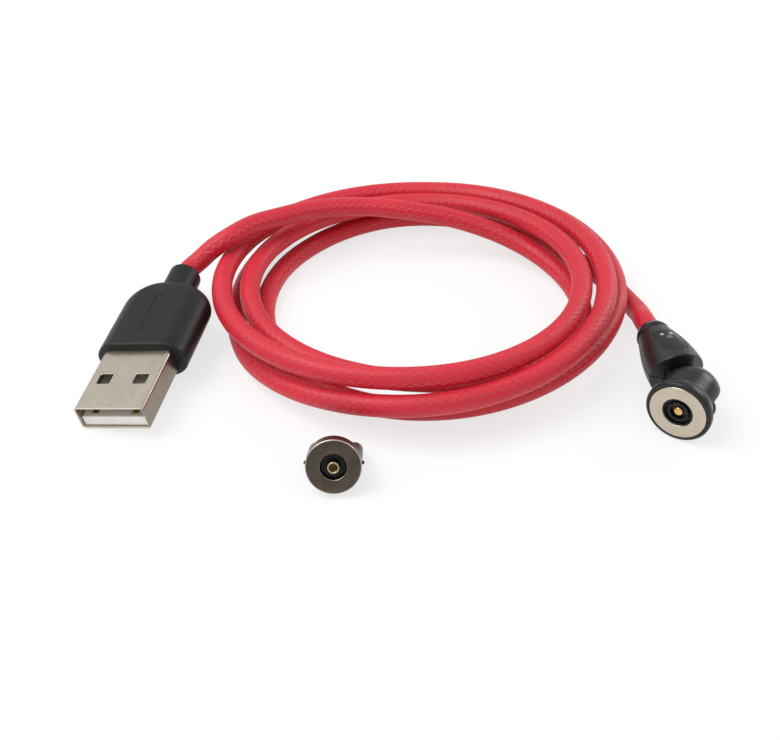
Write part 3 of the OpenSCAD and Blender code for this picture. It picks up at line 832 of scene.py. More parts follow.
@dataclass(frozen=True)
class SeatedFinish(Finish):
    """A finish whose marks follow the axis of the part that it covers."""

    seat: Matrix = field(default_factory=Matrix)

    def place(self, tree: Tree) -> Socket:
        """Object coordinates in millimetres, from the part's own axis.

        Args:
            tree: node tree of the material.

        Returns:
            The coordinates, as a vector socket.
        """
        at, turn, _ = self.seat.decompose()
        return add_node(
            tree,
            "ShaderNodeMapping",
            {
                "Vector": super().place(tree),
                "Location": tuple(at / MM),
                "Rotation": tuple(turn.to_euler()),
            },
            vector_type="TEXTURE",
        ).outputs[0]


@dataclass(frozen=True)
class RolledSheet(SeatedFinish):
    """Plated sheet whose rolling left faint lines along one direction."""

    line: float = 0.09
    stretch: float = 0.04
    # Colour, span across x and greatest share of the painted shade on the sheet's narrow sides.
    painted_side_shade: str = "#7a6e62"
    painted_side_x: Pair = (5.6, 5.95)
    painted_side_share: float = 0.8

    def tone(self, tree: Tree, place: Socket) -> Socket:
        """The plate's two tones, with painted shade on the narrow sides.

        Args:
            tree: node tree of the material.
            place: where the pattern is read, in millimetres.

        Returns:
            The colour, as a socket.
        """
        across = reckon(tree, "ABSOLUTE", axis(tree, place, "X"))
        share = ranged(tree, across, self.painted_side_x, (0.0, self.painted_side_share))
        return mixed(tree, share, super().tone(tree, place), linear(self.painted_side_shade))

    def relief(self, tree: Tree, place: Socket) -> Socket:
        """Lines drawn out along the sheet.

        Args:
            tree: node tree of the material.
            place: where the pattern is read, in millimetres.

        Returns:
            The height, as a socket.
        """
        drawn = add_node(
            tree, "ShaderNodeMapping", {"Vector": place, "Scale": (1.0, self.stretch, 1.0)}
        ).outputs[0]
        return self.cloud(tree, drawn, self.line)


@dataclass(frozen=True)
class TurnedMetal(SeatedFinish):
    """Metal turned on a lathe, with faint rings round its axis."""

    pitch: float = 0.09
    # Colour, span along the axis and share of a painted highlight band across an edge.
    edge: str = "#d8cdbb"
    highlight_y: Pair = (0.0, 0.0)
    highlight_share: float = 0.0

    def tone(self, tree: Tree, place: Socket) -> Socket:
        """The metal's two tones, with a painted highlight band across an edge.

        Args:
            tree: node tree of the material.
            place: where the pattern is read, in millimetres.

        Returns:
            The colour, as a socket.
        """
        middle, half = sum(self.highlight_y) / 2, (self.highlight_y[1] - self.highlight_y[0]) / 2
        band = reckon(tree, "COMPARE", axis(tree, place, "Y"), middle, half)
        share = reckon(tree, "MULTIPLY", band, self.highlight_share)
        return mixed(tree, share, super().tone(tree, place), linear(self.edge))

    def relief(self, tree: Tree, place: Socket) -> Socket:
        """Rings by distance from the axis.

        Args:
            tree: node tree of the material.
            place: where the pattern is read, in millimetres.

        Returns:
            The height, as a socket.
        """
        across = add_node(
            tree, "ShaderNodeVectorMath", {0: place, 1: (1.0, 0.0, 1.0)}, operation="MULTIPLY"
        ).outputs[0]
        radius = add_node(
            tree, "ShaderNodeVectorMath", {0: across}, operation="LENGTH"
        ).outputs["Value"]
        return add_node(
            tree,
            "ShaderNodeTexNoise",
            {"W": radius, "Scale": 1 / self.pitch, "Detail": 2.0},
            noise_dimensions="1D",
        ).outputs["Fac"]


@dataclass(frozen=True)
class EmbossedJacket(Finish):
    """Soft jacket embossed with rows of small scales whose edges run in a zigzag."""

    length: float = 912.0
    pitch: float = 1.6
    rows: int = 8
    swing: float = 0.2
    groove_w: float = 0.2
    groove_share: float = 0.35
    step_w: float = 0.6
    line_w: float = 0.55
    bulge: float = 0.3
    grain_share: float = 0.3
    patch: float = 9.0
    shallow: float = 0.25
    # Colour and greatest share of the painted shade line under each scale's edge, and of the
    # painted highlight line on it.
    painted_shade_line: tuple[str, float] = ("#7d0c1a", 0.22)
    painted_highlight_line: tuple[str, float] = ("#f08a92", 0.30)

    def zigzag(self, tree: Tree) -> tuple[Socket, Socket]:
        """Distance from the zigzag edge, in rows, and the wave along the jacket.

        Args:
            tree: node tree of the material.

        Returns:
            The distance in rows and the wave.
        """
        uv = add_node(tree, "ShaderNodeUVMap", uv_map="UVMap").outputs["UV"]
        along = reckon(tree, "MULTIPLY", axis(tree, uv, "X"), 2 * self.length / self.pitch)
        wave = ranged(tree, reckon(tree, "PINGPONG", along, 1.0), (0.0, 1.0))
        edge = reckon(tree, "MULTIPLY_ADD", wave, 2 * self.swing, 0.5 - self.swing)
        around = reckon(tree, "MULTIPLY", axis(tree, uv, "Y"), float(self.rows))
        return reckon(tree, "SUBTRACT", reckon(tree, "PINGPONG", around, 1.0), edge), wave

    def pressed(self, tree: Tree, place: Socket) -> Socket:
        """How deep the wheels pressed the scales here, from shallow to full."""
        return self.patches(tree, place, self.patch, (self.shallow, 1.0), 1.0)

    def beside(self, tree: Tree, offset: Socket, middle: float) -> Socket:
        """A thin line that follows the zigzag edge at a distance, from 0 to 1.

        Args:
            tree: node tree of the material.
            offset: distance from the zigzag edge, in rows.
            middle: distance at which the line runs.

        Returns:
            The line, 1 in its middle and 0 away from it.
        """
        away = reckon(tree, "ABSOLUTE", reckon(tree, "SUBTRACT", offset, middle))
        line = ranged(tree, away, (0.0, self.groove_w * self.line_w))
        return reckon(tree, "SUBTRACT", 1.0, line)

    def relief(self, tree: Tree, place: Socket) -> Socket:
        """Scales that overlap along zigzag edges, weaker in places, with a fine grain.

        Args:
            tree: node tree of the material.
            place: where the pattern is read, in millimetres.

        Returns:
            The height, as a socket.
        """
        offset, wave = self.zigzag(tree)
        scales = ranged(tree, reckon(tree, "ABSOLUTE", offset), (0.0, self.groove_w))
        reach = self.groove_w * self.step_w
        step = ranged(tree, offset, (-reach, reach))
        tall = reckon(tree, "MULTIPLY_ADD", scales, self.groove_share, step)
        bulged = reckon(tree, "MULTIPLY_ADD", wave, self.bulge, tall)
        embossed = reckon(tree, "MULTIPLY", bulged, self.pressed(tree, place))
        grain = super().relief(tree, place)
        return reckon(tree, "MULTIPLY_ADD", grain, self.grain_share, embossed)

    def tone(self, tree: Tree, place: Socket) -> Socket:
        """The jacket's two tones, with painted shade under each scale's edge and a painted
        highlight on it.

        Args:
            tree: node tree of the material.
            place: where the pattern is read, in millimetres.

        Returns:
            The colour, as a socket.
        """
        offset, _ = self.zigzag(tree)
        pressed = self.pressed(tree, place)
        colour = super().tone(tree, place)
        for middle, (code, most) in ((-0.5, self.painted_shade_line), (0.5, self.painted_highlight_line)):
            line = self.beside(tree, offset, middle * self.groove_w)
            share = reckon(tree, "MULTIPLY", reckon(tree, "MULTIPLY", line, pressed), most)
            colour = mixed(tree, share, colour, linear(code))
        return colour


# Thermoplastic elastomer, extruded and rolled between engraved wheels: satin, with scales.
JACKET = EmbossedJacket(
    "elastomer_embossed_red", Slot.JACKET, "#d12437", "#c51d2f", blotch=14.0, gloss=(0.40, 0.52),
    specular=0.45, grain=0.2, depth=0.13,
)
# Elastomer over-moulding from a spark-eroded mould: dull, with a fine even sparkle.
HOUSING = SparkPlastic(
    "elastomer_spark_dark", Slot.HOUSING, "#161b1a", "#131716", blotch=3.0, gloss=(0.40, 0.50),
    specular=0.32, grain=0.3, depth=0.022,
)
# Polycarbonate from a finely sparked mould: a little smoother and darker than the plug's.
SHELLS = SparkPlastic(
    "polycarbonate_spark_dark", Slot.HOUSING, "#171b1b", "#141818", blotch=2.4, gloss=(0.33, 0.42),
    specular=0.62, grain=0.25, depth=0.014, grit=0.14,
)
# Polycarbonate from a polished mould: smooth, so it mirrors softly.
HEAD_PLASTIC = SparkPlastic(
    "polycarbonate_satin_black", Slot.HOUSING, "#181c1d", "#141819", blotch=2.0, gloss=(0.28, 0.36),
    specular=0.38, grain=0.3, depth=0.008, grit=0.14,
)
# Nickel plate on rolled steel sheet: warm satin with faint lines along it, and painted shade on its
# narrow sides.
SHEET = RolledSheet(
    "nickel_plate_rolled", Slot.PLUG_STEEL, "#cdc5b6", "#c5bcac", blotch=3.0, gloss=(0.26, 0.34),
    metallic=1.0, depth=0.0012, seat=LAYOUT.plug(),
)
# The same plate on the small drawn shell of the tip, its colour painted dark brown as shade, with
# darker painted shade on its narrow sides.
TIP_SHEET = RolledSheet(
    "nickel_plate_drawn_painted_shade", Slot.PLUG_STEEL, "#5a4f48", "#4d433d", blotch=2.0, gloss=(0.28, 0.38),
    metallic=1.0, depth=0.001, seat=LAYOUT.tip(), painted_side_shade="#2f2824", painted_side_x=(3.0, 4.1),
)
# Nickel plate on a turned ring: satin face with rings round the axis.
RING = TurnedMetal(
    "nickel_plate_turned", Slot.RING_NICKEL, "#cbc0af", "#c2b6a4", blotch=2.5, gloss=(0.24, 0.33),
    metallic=1.0, depth=0.0012, seat=LAYOUT.head(),
)
# Nickel plate on the tip's ring: dull, its face painted dark brown as a painted reflection of dark
# surroundings, with a painted highlight along its rounded front edge.
TIP_RING = TurnedMetal(
    "nickel_plate_turned_painted_dark", Slot.RING_NICKEL, "#655d54", "#594f48", blotch=1.6,
    gloss=(0.3, 0.42), metallic=1.0, depth=0.0015, seat=LAYOUT.tip(), highlight_y=(0.02, 0.24),
    highlight_share=0.75,
)
# Gold plate on the tip's post: dark brown, with a painted highlight on its raised edge.
TIP_GOLD = TurnedMetal(
    "gold_plate_brown", Slot.CONTACT_GOLD, "#57442d", "#4a3824", blotch=0.5, gloss=(0.25, 0.36),
    metallic=1.0, depth=0.001, seat=LAYOUT.tip(), edge="#e2cfa6", highlight_y=(-0.5, -0.35),
    highlight_share=0.85,
)
# Hard gold plate over nickel, turned: pale and bright.
GOLD = Finish(
    "gold_plate_pale", Slot.CONTACT_GOLD, "#e0bb78", "#d4ab62", blotch=0.8, gloss=(0.2, 0.3),
    metallic=1.0, grain=0.1, depth=0.001,
)
# Thin gold plate on the pin's barrel over nickel, painted dull brown as the shade deep in its bore.
SHADED_BARREL_GOLD = Finish(
    "gold_plate_painted_shade", Slot.CONTACT_GOLD, "#5a4830", "#4b3b27", blotch=0.5, gloss=(0.35, 0.45),
    metallic=1.0, grain=0.1, depth=0.001,
)
# Glass-filled nylon, moulded: clean satin white.
TONGUE = Finish(
    "nylon_moulded_white", Slot.TONGUE, "#ece9e4", "#e2dfd9", blotch=2.0, gloss=(0.4, 0.5),
    grain=0.2, depth=0.003,
)
# Liquid crystal polymer, moulded: near black with a blue cast where it shines.
INSULATOR = Finish(
    "polymer_moulded_black", Slot.INSULATOR_BLACK, "#080b0f", "#070a0d", blotch=1.2,
    gloss=(0.3, 0.38), specular=0.28, grain=0.15, depth=0.002,
)
# Smoked polycarbonate from a polished mould: a smooth dark window.
PANEL = Finish(
    "polycarbonate_smoked", Slot.PANEL, "#171d1c", "#131918", blotch=2.0, gloss=(0.26, 0.34),
    specular=0.4, grain=0.4, depth=0.002,
)
# Milky polycarbonate light guides.
LENS = Finish(
    "polycarbonate_milky", Slot.LIGHT_PIPE, "#b9c0bf", "#8f9695", blotch=0.5, gloss=(0.12, 0.2),
    grain=0.3, depth=0.01,
)
# The same guide over the sensor, smoked.
SMOKED_LENS = Finish(
    "polycarbonate_milky_smoked", Slot.LIGHT_PIPE, "#5c6766", "#505a59", blotch=0.5,
    gloss=(0.14, 0.22), grain=0.3, depth=0.004,
)

PLAIN_FINISHES: dict[Slot, Finish] = {
    finish.slot: finish
    for finish in (
        # Hot-melt nylon poured round the joints: waxy, off white.
        Finish("nylon_hot_melt", Slot.PREMOULD, "#dcd6c6", "#d2cbb8", gloss=(0.45, 0.6)),
        # Extruded vinyl insulation.
        Finish("vinyl_extruded_red", Slot.POWER_WIRE, "#b5202a", "#a81c26"),
        Finish("vinyl_extruded_black", Slot.GROUND_WIRE, "#17181a", "#202124"),
        # Tin solder that flowed and froze: bright and slightly wavy.
        Finish(
            "tin_solder_flowed", Slot.SOLDER, "#c9cacb", "#babbbd", metallic=1.0, gloss=(0.2, 0.35),
            grain=0.5, depth=0.01,
        ),
        # Turned brass of the swivel, the slip contacts and the bushes.
        Finish(
            "brass_turned", Slot.SPINDLE_BRASS, "#c8a45a", "#b8924a", metallic=1.0,
            gloss=(0.25, 0.4), grain=0.1, depth=0.002,
        ),
        INSULATOR,
        # Acetal, turned: satin white.
        Finish(
            "acetal_turned_white", Slot.INSULATOR_WHITE, "#e6e6e2", "#dcdcd7", gloss=(0.35, 0.45)
        ),
        # Lamps in clear epoxy over a yellow phosphor.
        Finish("epoxy_phosphor", Slot.LAMP, "#efe9b4", "#e6de9c", gloss=(0.15, 0.25)),
        # Glass-fibre board under green solder mask, with its weave faintly showing.
        Finish(
            "board_green_mask", Slot.BOARD, "#12512b", "#0e4223", gloss=(0.25, 0.4), grain=0.25,
            depth=0.01,
        ),
        # Sintered magnet under nickel plate.
        Finish(
            "nickel_plate_magnet", Slot.MAGNET, "#b5b3af", "#a9a7a2", metallic=1.0, gloss=(0.2, 0.3)
        ),
        # Hard-drawn spring wire.
        Finish(
            "steel_spring_drawn", Slot.SPRING, "#b9b9b7", "#a8a8a6", metallic=1.0,
            gloss=(0.25, 0.35),
        ),
        # Ground dowel pins.
        Finish(
            "steel_ground", Slot.PIN_STEEL, "#b3b3b1", "#a6a6a3", metallic=1.0, gloss=(0.2, 0.3)
        ),
        GOLD,
    )
}


# ---- camera, surface and light -----------------------------------------------


WHITE = (1.0, 1.0, 1.0, 1.0)


@dataclass
class Studio:
    """Camera, pale surface, sky and lamps."""

    camera_at: Point = (-0.0015, -0.1415, 0.1152)
    camera_tilt: float = 52.0
    lens: float = 50.77
    clip_start: float = 0.01
    surface_size: float = 3.0
    surface_tone: str = "#f4f4f4"
    glow: float = 0.72
    sky_low: float = 0.12
    sky_high: float = 0.74
    sky_edge: float = 0.45
    wall_top: float = 0.075
    wall_soft: float = 0.02
    lamps: list[tuple[str, Point, float, float]] = field(
        default_factory=lambda: [
            ("key_lamp", (-0.32, -0.02, 0.50), 0.46, 2.2),
            ("side_lamp", (0.50, 0.36, 0.27), 0.26, 0.9),
        ]
    )

    def camera(self) -> None:
        """Makes the camera and takes the scene's view."""
        data = bpy.data.cameras.new("camera")
        data.lens = self.lens
        data.clip_start = self.clip_start
        obj = placed("camera", data)
        obj.location = self.camera_at
        obj.rotation_euler = (math.radians(self.camera_tilt), 0.0, 0.0)
        bpy.context.scene.camera = obj

    def surface(self) -> None:
        """Makes the pale surface: white to the eye, with the cable's own shadow on it."""
        bm = bmesh.new()
        bmesh.ops.create_grid(bm, x_segments=1, y_segments=1, size=self.surface_size / 2)
        obj = placed("surface", mesh_of(bm, "surface"))
        made = bpy.data.materials.new("paper_matt_white")
        made.use_nodes = True
        tree = made.node_tree
        tree.nodes.clear()
        path = add_node(tree, "ShaderNodeLightPath").outputs
        seen = path["Is Camera Ray"]
        for ray in ("Is Glossy Ray", "Is Transmission Ray"):
            seen = reckon(tree, "MAXIMUM", seen, path[ray])
        share = reckon(tree, "MULTIPLY", seen, self.glow)
        paper = add_node(tree, "ShaderNodeBsdfDiffuse", {"Color": linear(self.surface_tone)})
        white = add_node(tree, "ShaderNodeEmission", {"Color": WHITE, "Strength": 1.0})
        mix = add_node(
            tree, "ShaderNodeMixShader", {0: share, 1: paper.outputs[0], 2: white.outputs[0]}
        )
        add_node(tree, "ShaderNodeOutputMaterial", {"Surface": mix.outputs[0]})
        obj.data.materials.append(made)

    def sky(self) -> None:
        """Fills the room with soft light, stronger from above, over a low white wall."""
        world = bpy.data.worlds.new("studio")
        bpy.context.scene.world = world
        world.use_nodes = True
        tree = world.node_tree
        tree.nodes.clear()
        up = axis(tree, add_node(tree, "ShaderNodeTexCoord").outputs["Generated"], "Z")
        level = ranged(tree, up, (0.0, self.sky_edge), (self.sky_low, self.sky_high))
        edge = (self.wall_top, self.wall_top + self.wall_soft)
        wall = ranged(tree, up, edge, (1.0, 0.0), "LINEAR")
        level = reckon(tree, "MAXIMUM", level, wall)
        light = add_node(tree, "ShaderNodeBackground", {"Color": WHITE, "Strength": level})
        add_node(tree, "ShaderNodeOutputWorld", {"Surface": light.outputs[0]})

    def light(self) -> None:
        """Hangs the soft lamps, each facing the middle of the cable."""
        for name, at, size, power in self.lamps:
            data = bpy.data.lights.new(name, "AREA")
            data.shape = "DISK"
            data.size = size
            data.energy = power
            obj = placed(name, data)
            obj.location = at
            obj.rotation_euler = (-Vector(at)).to_track_quat("-Z", "Y").to_euler()

    def build(self) -> None:
        """Makes the whole studio."""
        bpy.context.scene.view_settings.view_transform = "Standard"
        self.camera()
        self.surface()
        self.sky()
        self.light()


# ---- cord --------------------------------------------------------------------


def curve_through(knots: Sequence[Vector], chords: int) -> list[Vector]:
    """Points of one smooth curve through knots, with so many chords from each to the next.

    Args:
        knots: points that the curve passes.
        chords: chords between two knots.

    Returns:
        The points of the curve, its ends included.
    """
    ends = [2 * knots[0] - knots[1], *knots, 2 * knots[-1] - knots[-2]]
    points: list[Vector] = []
    for a, b, c, d in zip(ends, ends[1:], ends[2:], ends[3:]):
        spans = [math.sqrt((q - p).length) for p, q in ((a, b), (b, c), (c, d))]
        m1 = (b - a) / spans[0] - (c - a) / (spans[0] + spans[1]) + (c - b) / spans[1]
        m2 = (c - b) / spans[1] - (d - b) / (spans[1] + spans[2]) + (d - c) / spans[2]
        m1, m2 = m1 * spans[1], m2 * spans[1]
        for i in range(chords):
            t = i / chords
            points.append(
                b * (2 * t**3 - 3 * t**2 + 1)
                + m1 * (t**3 - 2 * t**2 + t)
                + c * (3 * t**2 - 2 * t**3)
                + m2 * (t**3 - t**2)
            )
    return [*points, knots[-1]]


def evened(line: Sequence[Vector], spacing: float) -> tuple[list[Vector], float]:
    """The same line in even steps of about a spacing, and its length.

    Args:
        line: points of the line.
        spacing: step to aim at.

    Returns:
        The new points and the length of the line.
    """
    run = [0.0]
    for p, q in zip(line, line[1:]):
        run.append(run[-1] + (q - p).length)
    count = round(run[-1] / spacing)
    even, k = [], 0
    for i in range(count + 1):
        want = run[-1] * i / count
        while k < len(run) - 2 and run[k + 1] < want:
            k += 1
        share = (want - run[k]) / (run[k + 1] - run[k])
        even.append(line[k].lerp(line[k + 1], min(share, 1.0)))
    return even, run[-1]


@dataclass
class Cord:
    """The cord: a free stretch from the plug, the coil and a free stretch to the head."""

    diameter: float = CORD_D
    neck_end: float = 36.0
    lead_in: float = 1.5
    collar_back: float = 17.35
    lead_out: float = 3.0
    cord_stop: float = 16.35
    middle: Pair = (3.0, 23.5)
    stations: tuple[Pair, ...] = (
        (28.5, 11.0),
        (20.5, 9.0), (30.0, 2.0), (27.5, 5.5), (29.5, 6.0),
        (27.5, 7.0), (28.9, 9.6), (33.1, 10.6), (34.2, 7.4),
        (31.6, 7.3), (33.2, 9.8), (36.0, 7.5), (32.0, 0.5),
        (36.5, 4.5), (36.0, 6.0), (31.0, 2.5), (27.0, 1.0),
        (29.5, 2.5), (33.5, 2.0), (37.5, 2.0),
    )
    rings_a_turn: int = 24
    turns: float = 4.125
    plug_lead: tuple[Point, ...] = (
        (-35.9, 28.2, 8.0), (-33.7, 29.2, 9.7), (-31.0, 30.5, 11.1), (-26.8, 34.1, 11.8),
        (-21.9, 37.6, 11.5), (-16.5, 41.0, 11.0), (-11.0, 43.0, 10.5), (-5.5, 44.0, 10.0),
    )
    head_lead: tuple[Point, ...] = (
        (33.0, 39.0, 2.0), (37.0, 33.5, 2.0), (40.0, 28.0, 2.0), (41.8, 22.5, 2.4),
        (42.5, 17.5, 3.6),
    )
    chords: int = 24
    spacing: float = 0.5
    sides: int = 24

    def station(self, turn: float, column: int) -> float:
        """A station value at so many quarter turns, on a smooth curve through them.

        Args:
            turn: quarter turns from the start of the coil.
            column: which value of a station.

        Returns:
            The value there.
        """
        i = min(int(turn), len(self.stations) - 4)
        t = turn - i
        a, b, c, d = (self.stations[i + k][column] for k in range(4))
        return 0.5 * (
            2 * b
            + (c - a) * t
            + (2 * a - 5 * b + 4 * c - d) * t * t
            + (3 * b - a - 3 * c + d) * t * t * t
        )

    def coil_point(self, turn: float) -> Vector:
        """Middle of the cord at so many quarter turns into the coil.

        Args:
            turn: quarter turns from the start of the coil.

        Returns:
            The point in millimetres.
        """
        angle, r = math.radians(90 - 90 * turn), self.station(turn, 0)
        height = max(self.diameter / 2, self.station(turn, 1))
        return Vector(
            (self.middle[0] + r * math.cos(angle), self.middle[1] + r * math.sin(angle), height)
        )

    def knots(self) -> list[Vector]:
        """The route's own points, from inside the plug to inside the collar, in millimetres.

        Returns:
            The knots in order.
        """
        plug = Matrix.Scale(1 / MM, 4) @ LAYOUT.plug()
        sleeve = Matrix.Scale(1 / MM, 4) @ LAYOUT.sleeve()
        step, stop = 4 / self.rings_a_turn, 4 * self.turns
        count = round(stop / step)
        coil = [self.coil_point(i * step) for i in range(count + 1)]
        ahead = (coil[0] - self.coil_point(step / 4)).normalized()
        beyond = (coil[-1] - self.coil_point(stop - step / 4)).normalized()
        held = (CORD_START, self.neck_end, self.neck_end + self.lead_in)
        gripped = (self.collar_back + self.lead_out, self.collar_back, self.cord_stop)
        return [
            *[plug @ Vector((0, y, 0)) for y in held],
            *map(Vector, self.plug_lead),
            coil[0] + ahead * self.diameter,
            *coil,
            coil[-1] + beyond * self.diameter,
            *map(Vector, self.head_lead),
            *[sleeve @ Vector((0, y, 0)) for y in gripped],
        ]

    def build(self) -> None:
        route, length = evened(curve_through(self.knots(), self.chords), self.spacing)
        path = [p * MM for p in route]
        mesh = tube(path, self.diameter / 2 * MM, self.sides)
        mesh.name = "cord"
        mesh.shade_smooth()
        mesh.set_sharp_from_angle(angle=math.radians(CORD_CREASE))
        mesh.materials.clear()
        mesh.materials.append(JACKET.material())
        cord = placed("cord", mesh)
        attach(cord, Body.CORD_AND_PLUG.value)
        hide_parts("cord_plug_lead", "cord_coil", "cord_head_lead")
        tuple(LAYOUT.plug() @ Vector((0, self.neck_end, 0)))
        log.info("cord: %.1f mm, %d rings", length, len(path))


# ---- plug --------------------------------------------------------------------


@dataclass
class Plug:
    """USB-A plug with its over-moulded housing."""

    shell_w: float = LAYOUT.shell[0]
    shell_h: float = LAYOUT.shell[1]
    shell_r: float = LAYOUT.shell[2]
    shell_out: float = LAYOUT.shell_out
    shell_in: float = 5.0
    wall: float = 0.3
    sheared_edge: float = 0.05
    window: float = 2.3
    window_gap: float = 6.4
    window_back: float = 6.7
    window_r: float = 0.3
    tongue_h: float = 1.85
    tongue_inset: float = 0.4
    tongue_edge: float = 0.16
    groove_set: float = 0.6
    contact_set: float = 0.7
    contact_w: float = 1.1
    contact_t: float = 0.25
    contact_gap: float = 7.0
    contact_tail: float = 2.0
    contact_edge: float = 0.08
    body_w: float = LAYOUT.moulding[0]
    body_h: float = LAYOUT.moulding[1]
    body_r: float = LAYOUT.moulding[2]
    body_len: float = 12.2
    rim_r: float = 0.5
    crown: float = 0.16
    shoulder: float = 4.8
    shoulder_end: float = 86.0
    neck_d: float = 5.7
    neck_len: float = 5.6
    neck_edge: float = 0.15
    recess: tuple[float, float, float] = (9.6, 2.3, 0.42)
    recess_mid: float = 21.3
    premould: tuple[float, float, float] = (10.4, 6.0, 5.0)
    wire_way: Pair = (1.2, 0.6)

    def shell(self) -> Solid:
        """Folded steel shell with its latch windows.

        Returns:
            The shell in the plug's own frame.
        """
        bm = slab(self.shell_w, 0, self.shell_out + self.shell_in, self.shell_h)
        long_edges = [e for e in bm.edges if abs(e.verts[0].co.y - e.verts[1].co.y) > 1]
        soften(bm, long_edges, self.shell_r, 8)
        ends = [f for f in bm.faces if abs(f.normal.y) > ALONG]
        bmesh.ops.delete(bm, geom=ends, context="FACES_ONLY")
        half, sides = self.window / 2, (-1, 1)
        planes = [
            ((s * self.window_gap / 2 + t * half, 0, 0), (1, 0, 0)) for s in sides for t in sides
        ]
        planes += [((0, self.window_back + t * half, 0), (0, 1, 0)) for t in sides]
        for at, way in planes:
            bmesh.ops.bisect_plane(
                bm, geom=[*bm.verts, *bm.edges, *bm.faces], plane_co=at, plane_no=way, dist=MERGE
            )
        holes = []
        for face in bm.faces:
            c = face.calc_center_median()
            if (
                abs(face.normal.z) > ALONG
                and abs(abs(c.x) - self.window_gap / 2) < half
                and abs(c.y - self.window_back) < half
            ):
                holes.append(face)
        bmesh.ops.delete(bm, geom=holes, context="FACES")
        bmesh.ops.solidify(bm, geom=list(bm.faces), thickness=self.wall)
        bmesh.ops.recalc_face_normals(bm, faces=bm.faces)
        corners = []
        for edge in sharp_edges(bm, 60):
            a, b = (vert.co for vert in edge.verts)
            through = abs(a.z - b.z) > ALONG * (b - a).length
            if through and abs(a.y - self.window_back) < self.window:
                corners.append(edge)
        soften(bm, corners, self.window_r, 5)
        soften(bm, sharp_edges(bm, 50), self.sheared_edge, 2)
        return bm

    def tongue(self) -> Solid:
        """Tongue that carries the contacts, with its two grooves.

        Returns:
            The tongue in the plug's own frame.
        """
        bore_w, bore_h = self.shell_w - 2 * self.wall, self.shell_h - 2 * self.wall
        bottom = -bore_h / 2 + SEAT
        top = bottom + self.tongue_h
        back = self.shell_out + self.shell_in
        low = (-bore_w / 2 + SEAT, self.tongue_inset, bottom)
        bm = block(low, (bore_w / 2 - SEAT, back, top), self.tongue_edge, 4)
        half, y = self.contact_w / 2 + SEAT, self.tongue_inset + self.groove_set
        grooves = []
        for x in (-self.contact_gap / 2, self.contact_gap / 2):
            groove = block((x - half, y, top - self.contact_t / 2), (x + half, back + 1, top + 1))
            grooves.append((Cut.TAKE, groove))
        return carve(bm, grooves)

    def contact(self, side: int) -> Solid:
        """Contact strip on one side.

        Args:
            side: 1 or -1 across the tongue.

        Returns:
            The strip in the plug's own frame.
        """
        top = -(self.shell_h / 2 - self.wall) + SEAT + self.tongue_h
        x = side * self.contact_gap / 2
        y = self.tongue_inset + self.contact_set
        back = self.shell_out + self.shell_in + self.contact_tail
        low = (x - self.contact_w / 2, y, top - self.contact_t / 2)
        high = (x + self.contact_w / 2, back, top + self.contact_t / 2)
        return block(low, high, self.contact_edge, 3)

    def outside(self) -> list[Section]:
        """Outlines of the housing: rounded rim, straight body, round shoulders and neck.

        Returns:
            The outlines from the rim to the neck's end.
        """
        y0, y1 = self.shell_out, self.shell_out + self.body_len
        half_w, half_h, neck_r = self.body_w / 2, self.body_h / 2, self.neck_d / 2
        neck_y0 = y1 + self.shoulder
        rows = []
        for s, c in arc(6):
            inset, y = self.rim_r * (1 - s), y0 + self.rim_r * (1 - c)
            rows.append(
                Section(y, half_w - inset, half_h - inset, self.body_r - inset, self.crown)
            )
        rows.append(Section(y1 - 0.6, half_w, half_h, self.body_r, self.crown))
        last = math.radians(self.shoulder_end)
        for s, c in arc(14, last):
            w, h, r = (neck_r + (size - neck_r) * c for size in (half_w, half_h, self.body_r))
            rows.append(Section(y1 + self.shoulder * s, w, h, min(r, h), self.crown * c))
        fillet, lift = ((size - neck_r) * math.cos(last) for size in (half_w, half_h))
        for s, c in arc(5):
            w, h = neck_r + fillet * (1 - s), neck_r + lift * (1 - s)
            rows.append(Section(neck_y0 + fillet * (1 - c), w, h, h))
        for s, c in arc(6):
            y = neck_y0 + self.neck_len - self.rim_r * (1 - s)
            rows.append(Section.circle(y, neck_r - self.rim_r * (1 - c)))
        return rows

    def inside(self) -> list[Section]:
        """Outlines of what is hollow in the housing, from the neck's end to the shell's seat.

        Returns:
            The outlines, from the neck's end inwards.
        """
        neck_y1 = self.shell_out + self.body_len + self.shoulder + self.neck_len
        floor = self.shell_out + self.shell_in + SEAT
        room_w, room_len, room_h = self.premould
        room = (room_w / 2 + SEAT, room_h / 2 + SEAT, 0.1)
        way_w, way_h = self.wire_way
        room_y, cord_y, bore = floor + room_len + 2 * SEAT, CORD_START - SEAT, CORD_D / 2 + FIT
        return [
            Section.circle(neck_y1, bore + self.neck_edge),
            Section.circle(neck_y1 - self.neck_edge, bore),
            Section.circle(cord_y, bore),
            Section(cord_y, way_w, way_h, way_h),
            Section(room_y, way_w, way_h, way_h),
            Section(room_y, *room),
            Section(floor, *room),
            Section(floor, self.shell_w / 2 + FIT, self.shell_h / 2 + FIT, self.shell_r),
        ]

    def dent(self, side: int) -> Solid:
        """The tool of one thumb recess, with a chamfered lip.

        Args:
            side: 1 for the upper face, -1 for the lower.

        Returns:
            The tool, to be cut away.
        """
        length, width, depth = self.recess
        lip = (
            (0.0, -0.34), (0.05, -0.17), (0.14, -0.06), (depth - 0.12, 0.0), (depth, 0.12),
            (2.0, 0.16),
        )
        rows = [
            Section(y, length / 2 + grow, width / 2 + grow, width / 2 + grow) for y, grow in lip
        ]
        stand = Matrix.Rotation(math.pi / 2, 4, "Z") @ Matrix.Rotation(side * math.pi / 2, 4, "X")
        at = Matrix.Translation((0, self.recess_mid, side * (self.body_h / 2 - depth)))
        return turned(loft(rows, 64), at @ stand)

    def housing(self) -> Solid:
        """Over-moulded housing with its hollows and thumb recesses.

        Returns:
            The housing in the plug's own frame.
        """
        mouth = Section(
            self.shell_out, self.shell_w / 2 + FIT, self.shell_h / 2 + FIT, self.shell_r
        )
        skin = loft([mouth, *self.outside(), *self.inside(), mouth])
        return carve(skin, [(Cut.TAKE, self.dent(side)) for side in (-1, 1)])

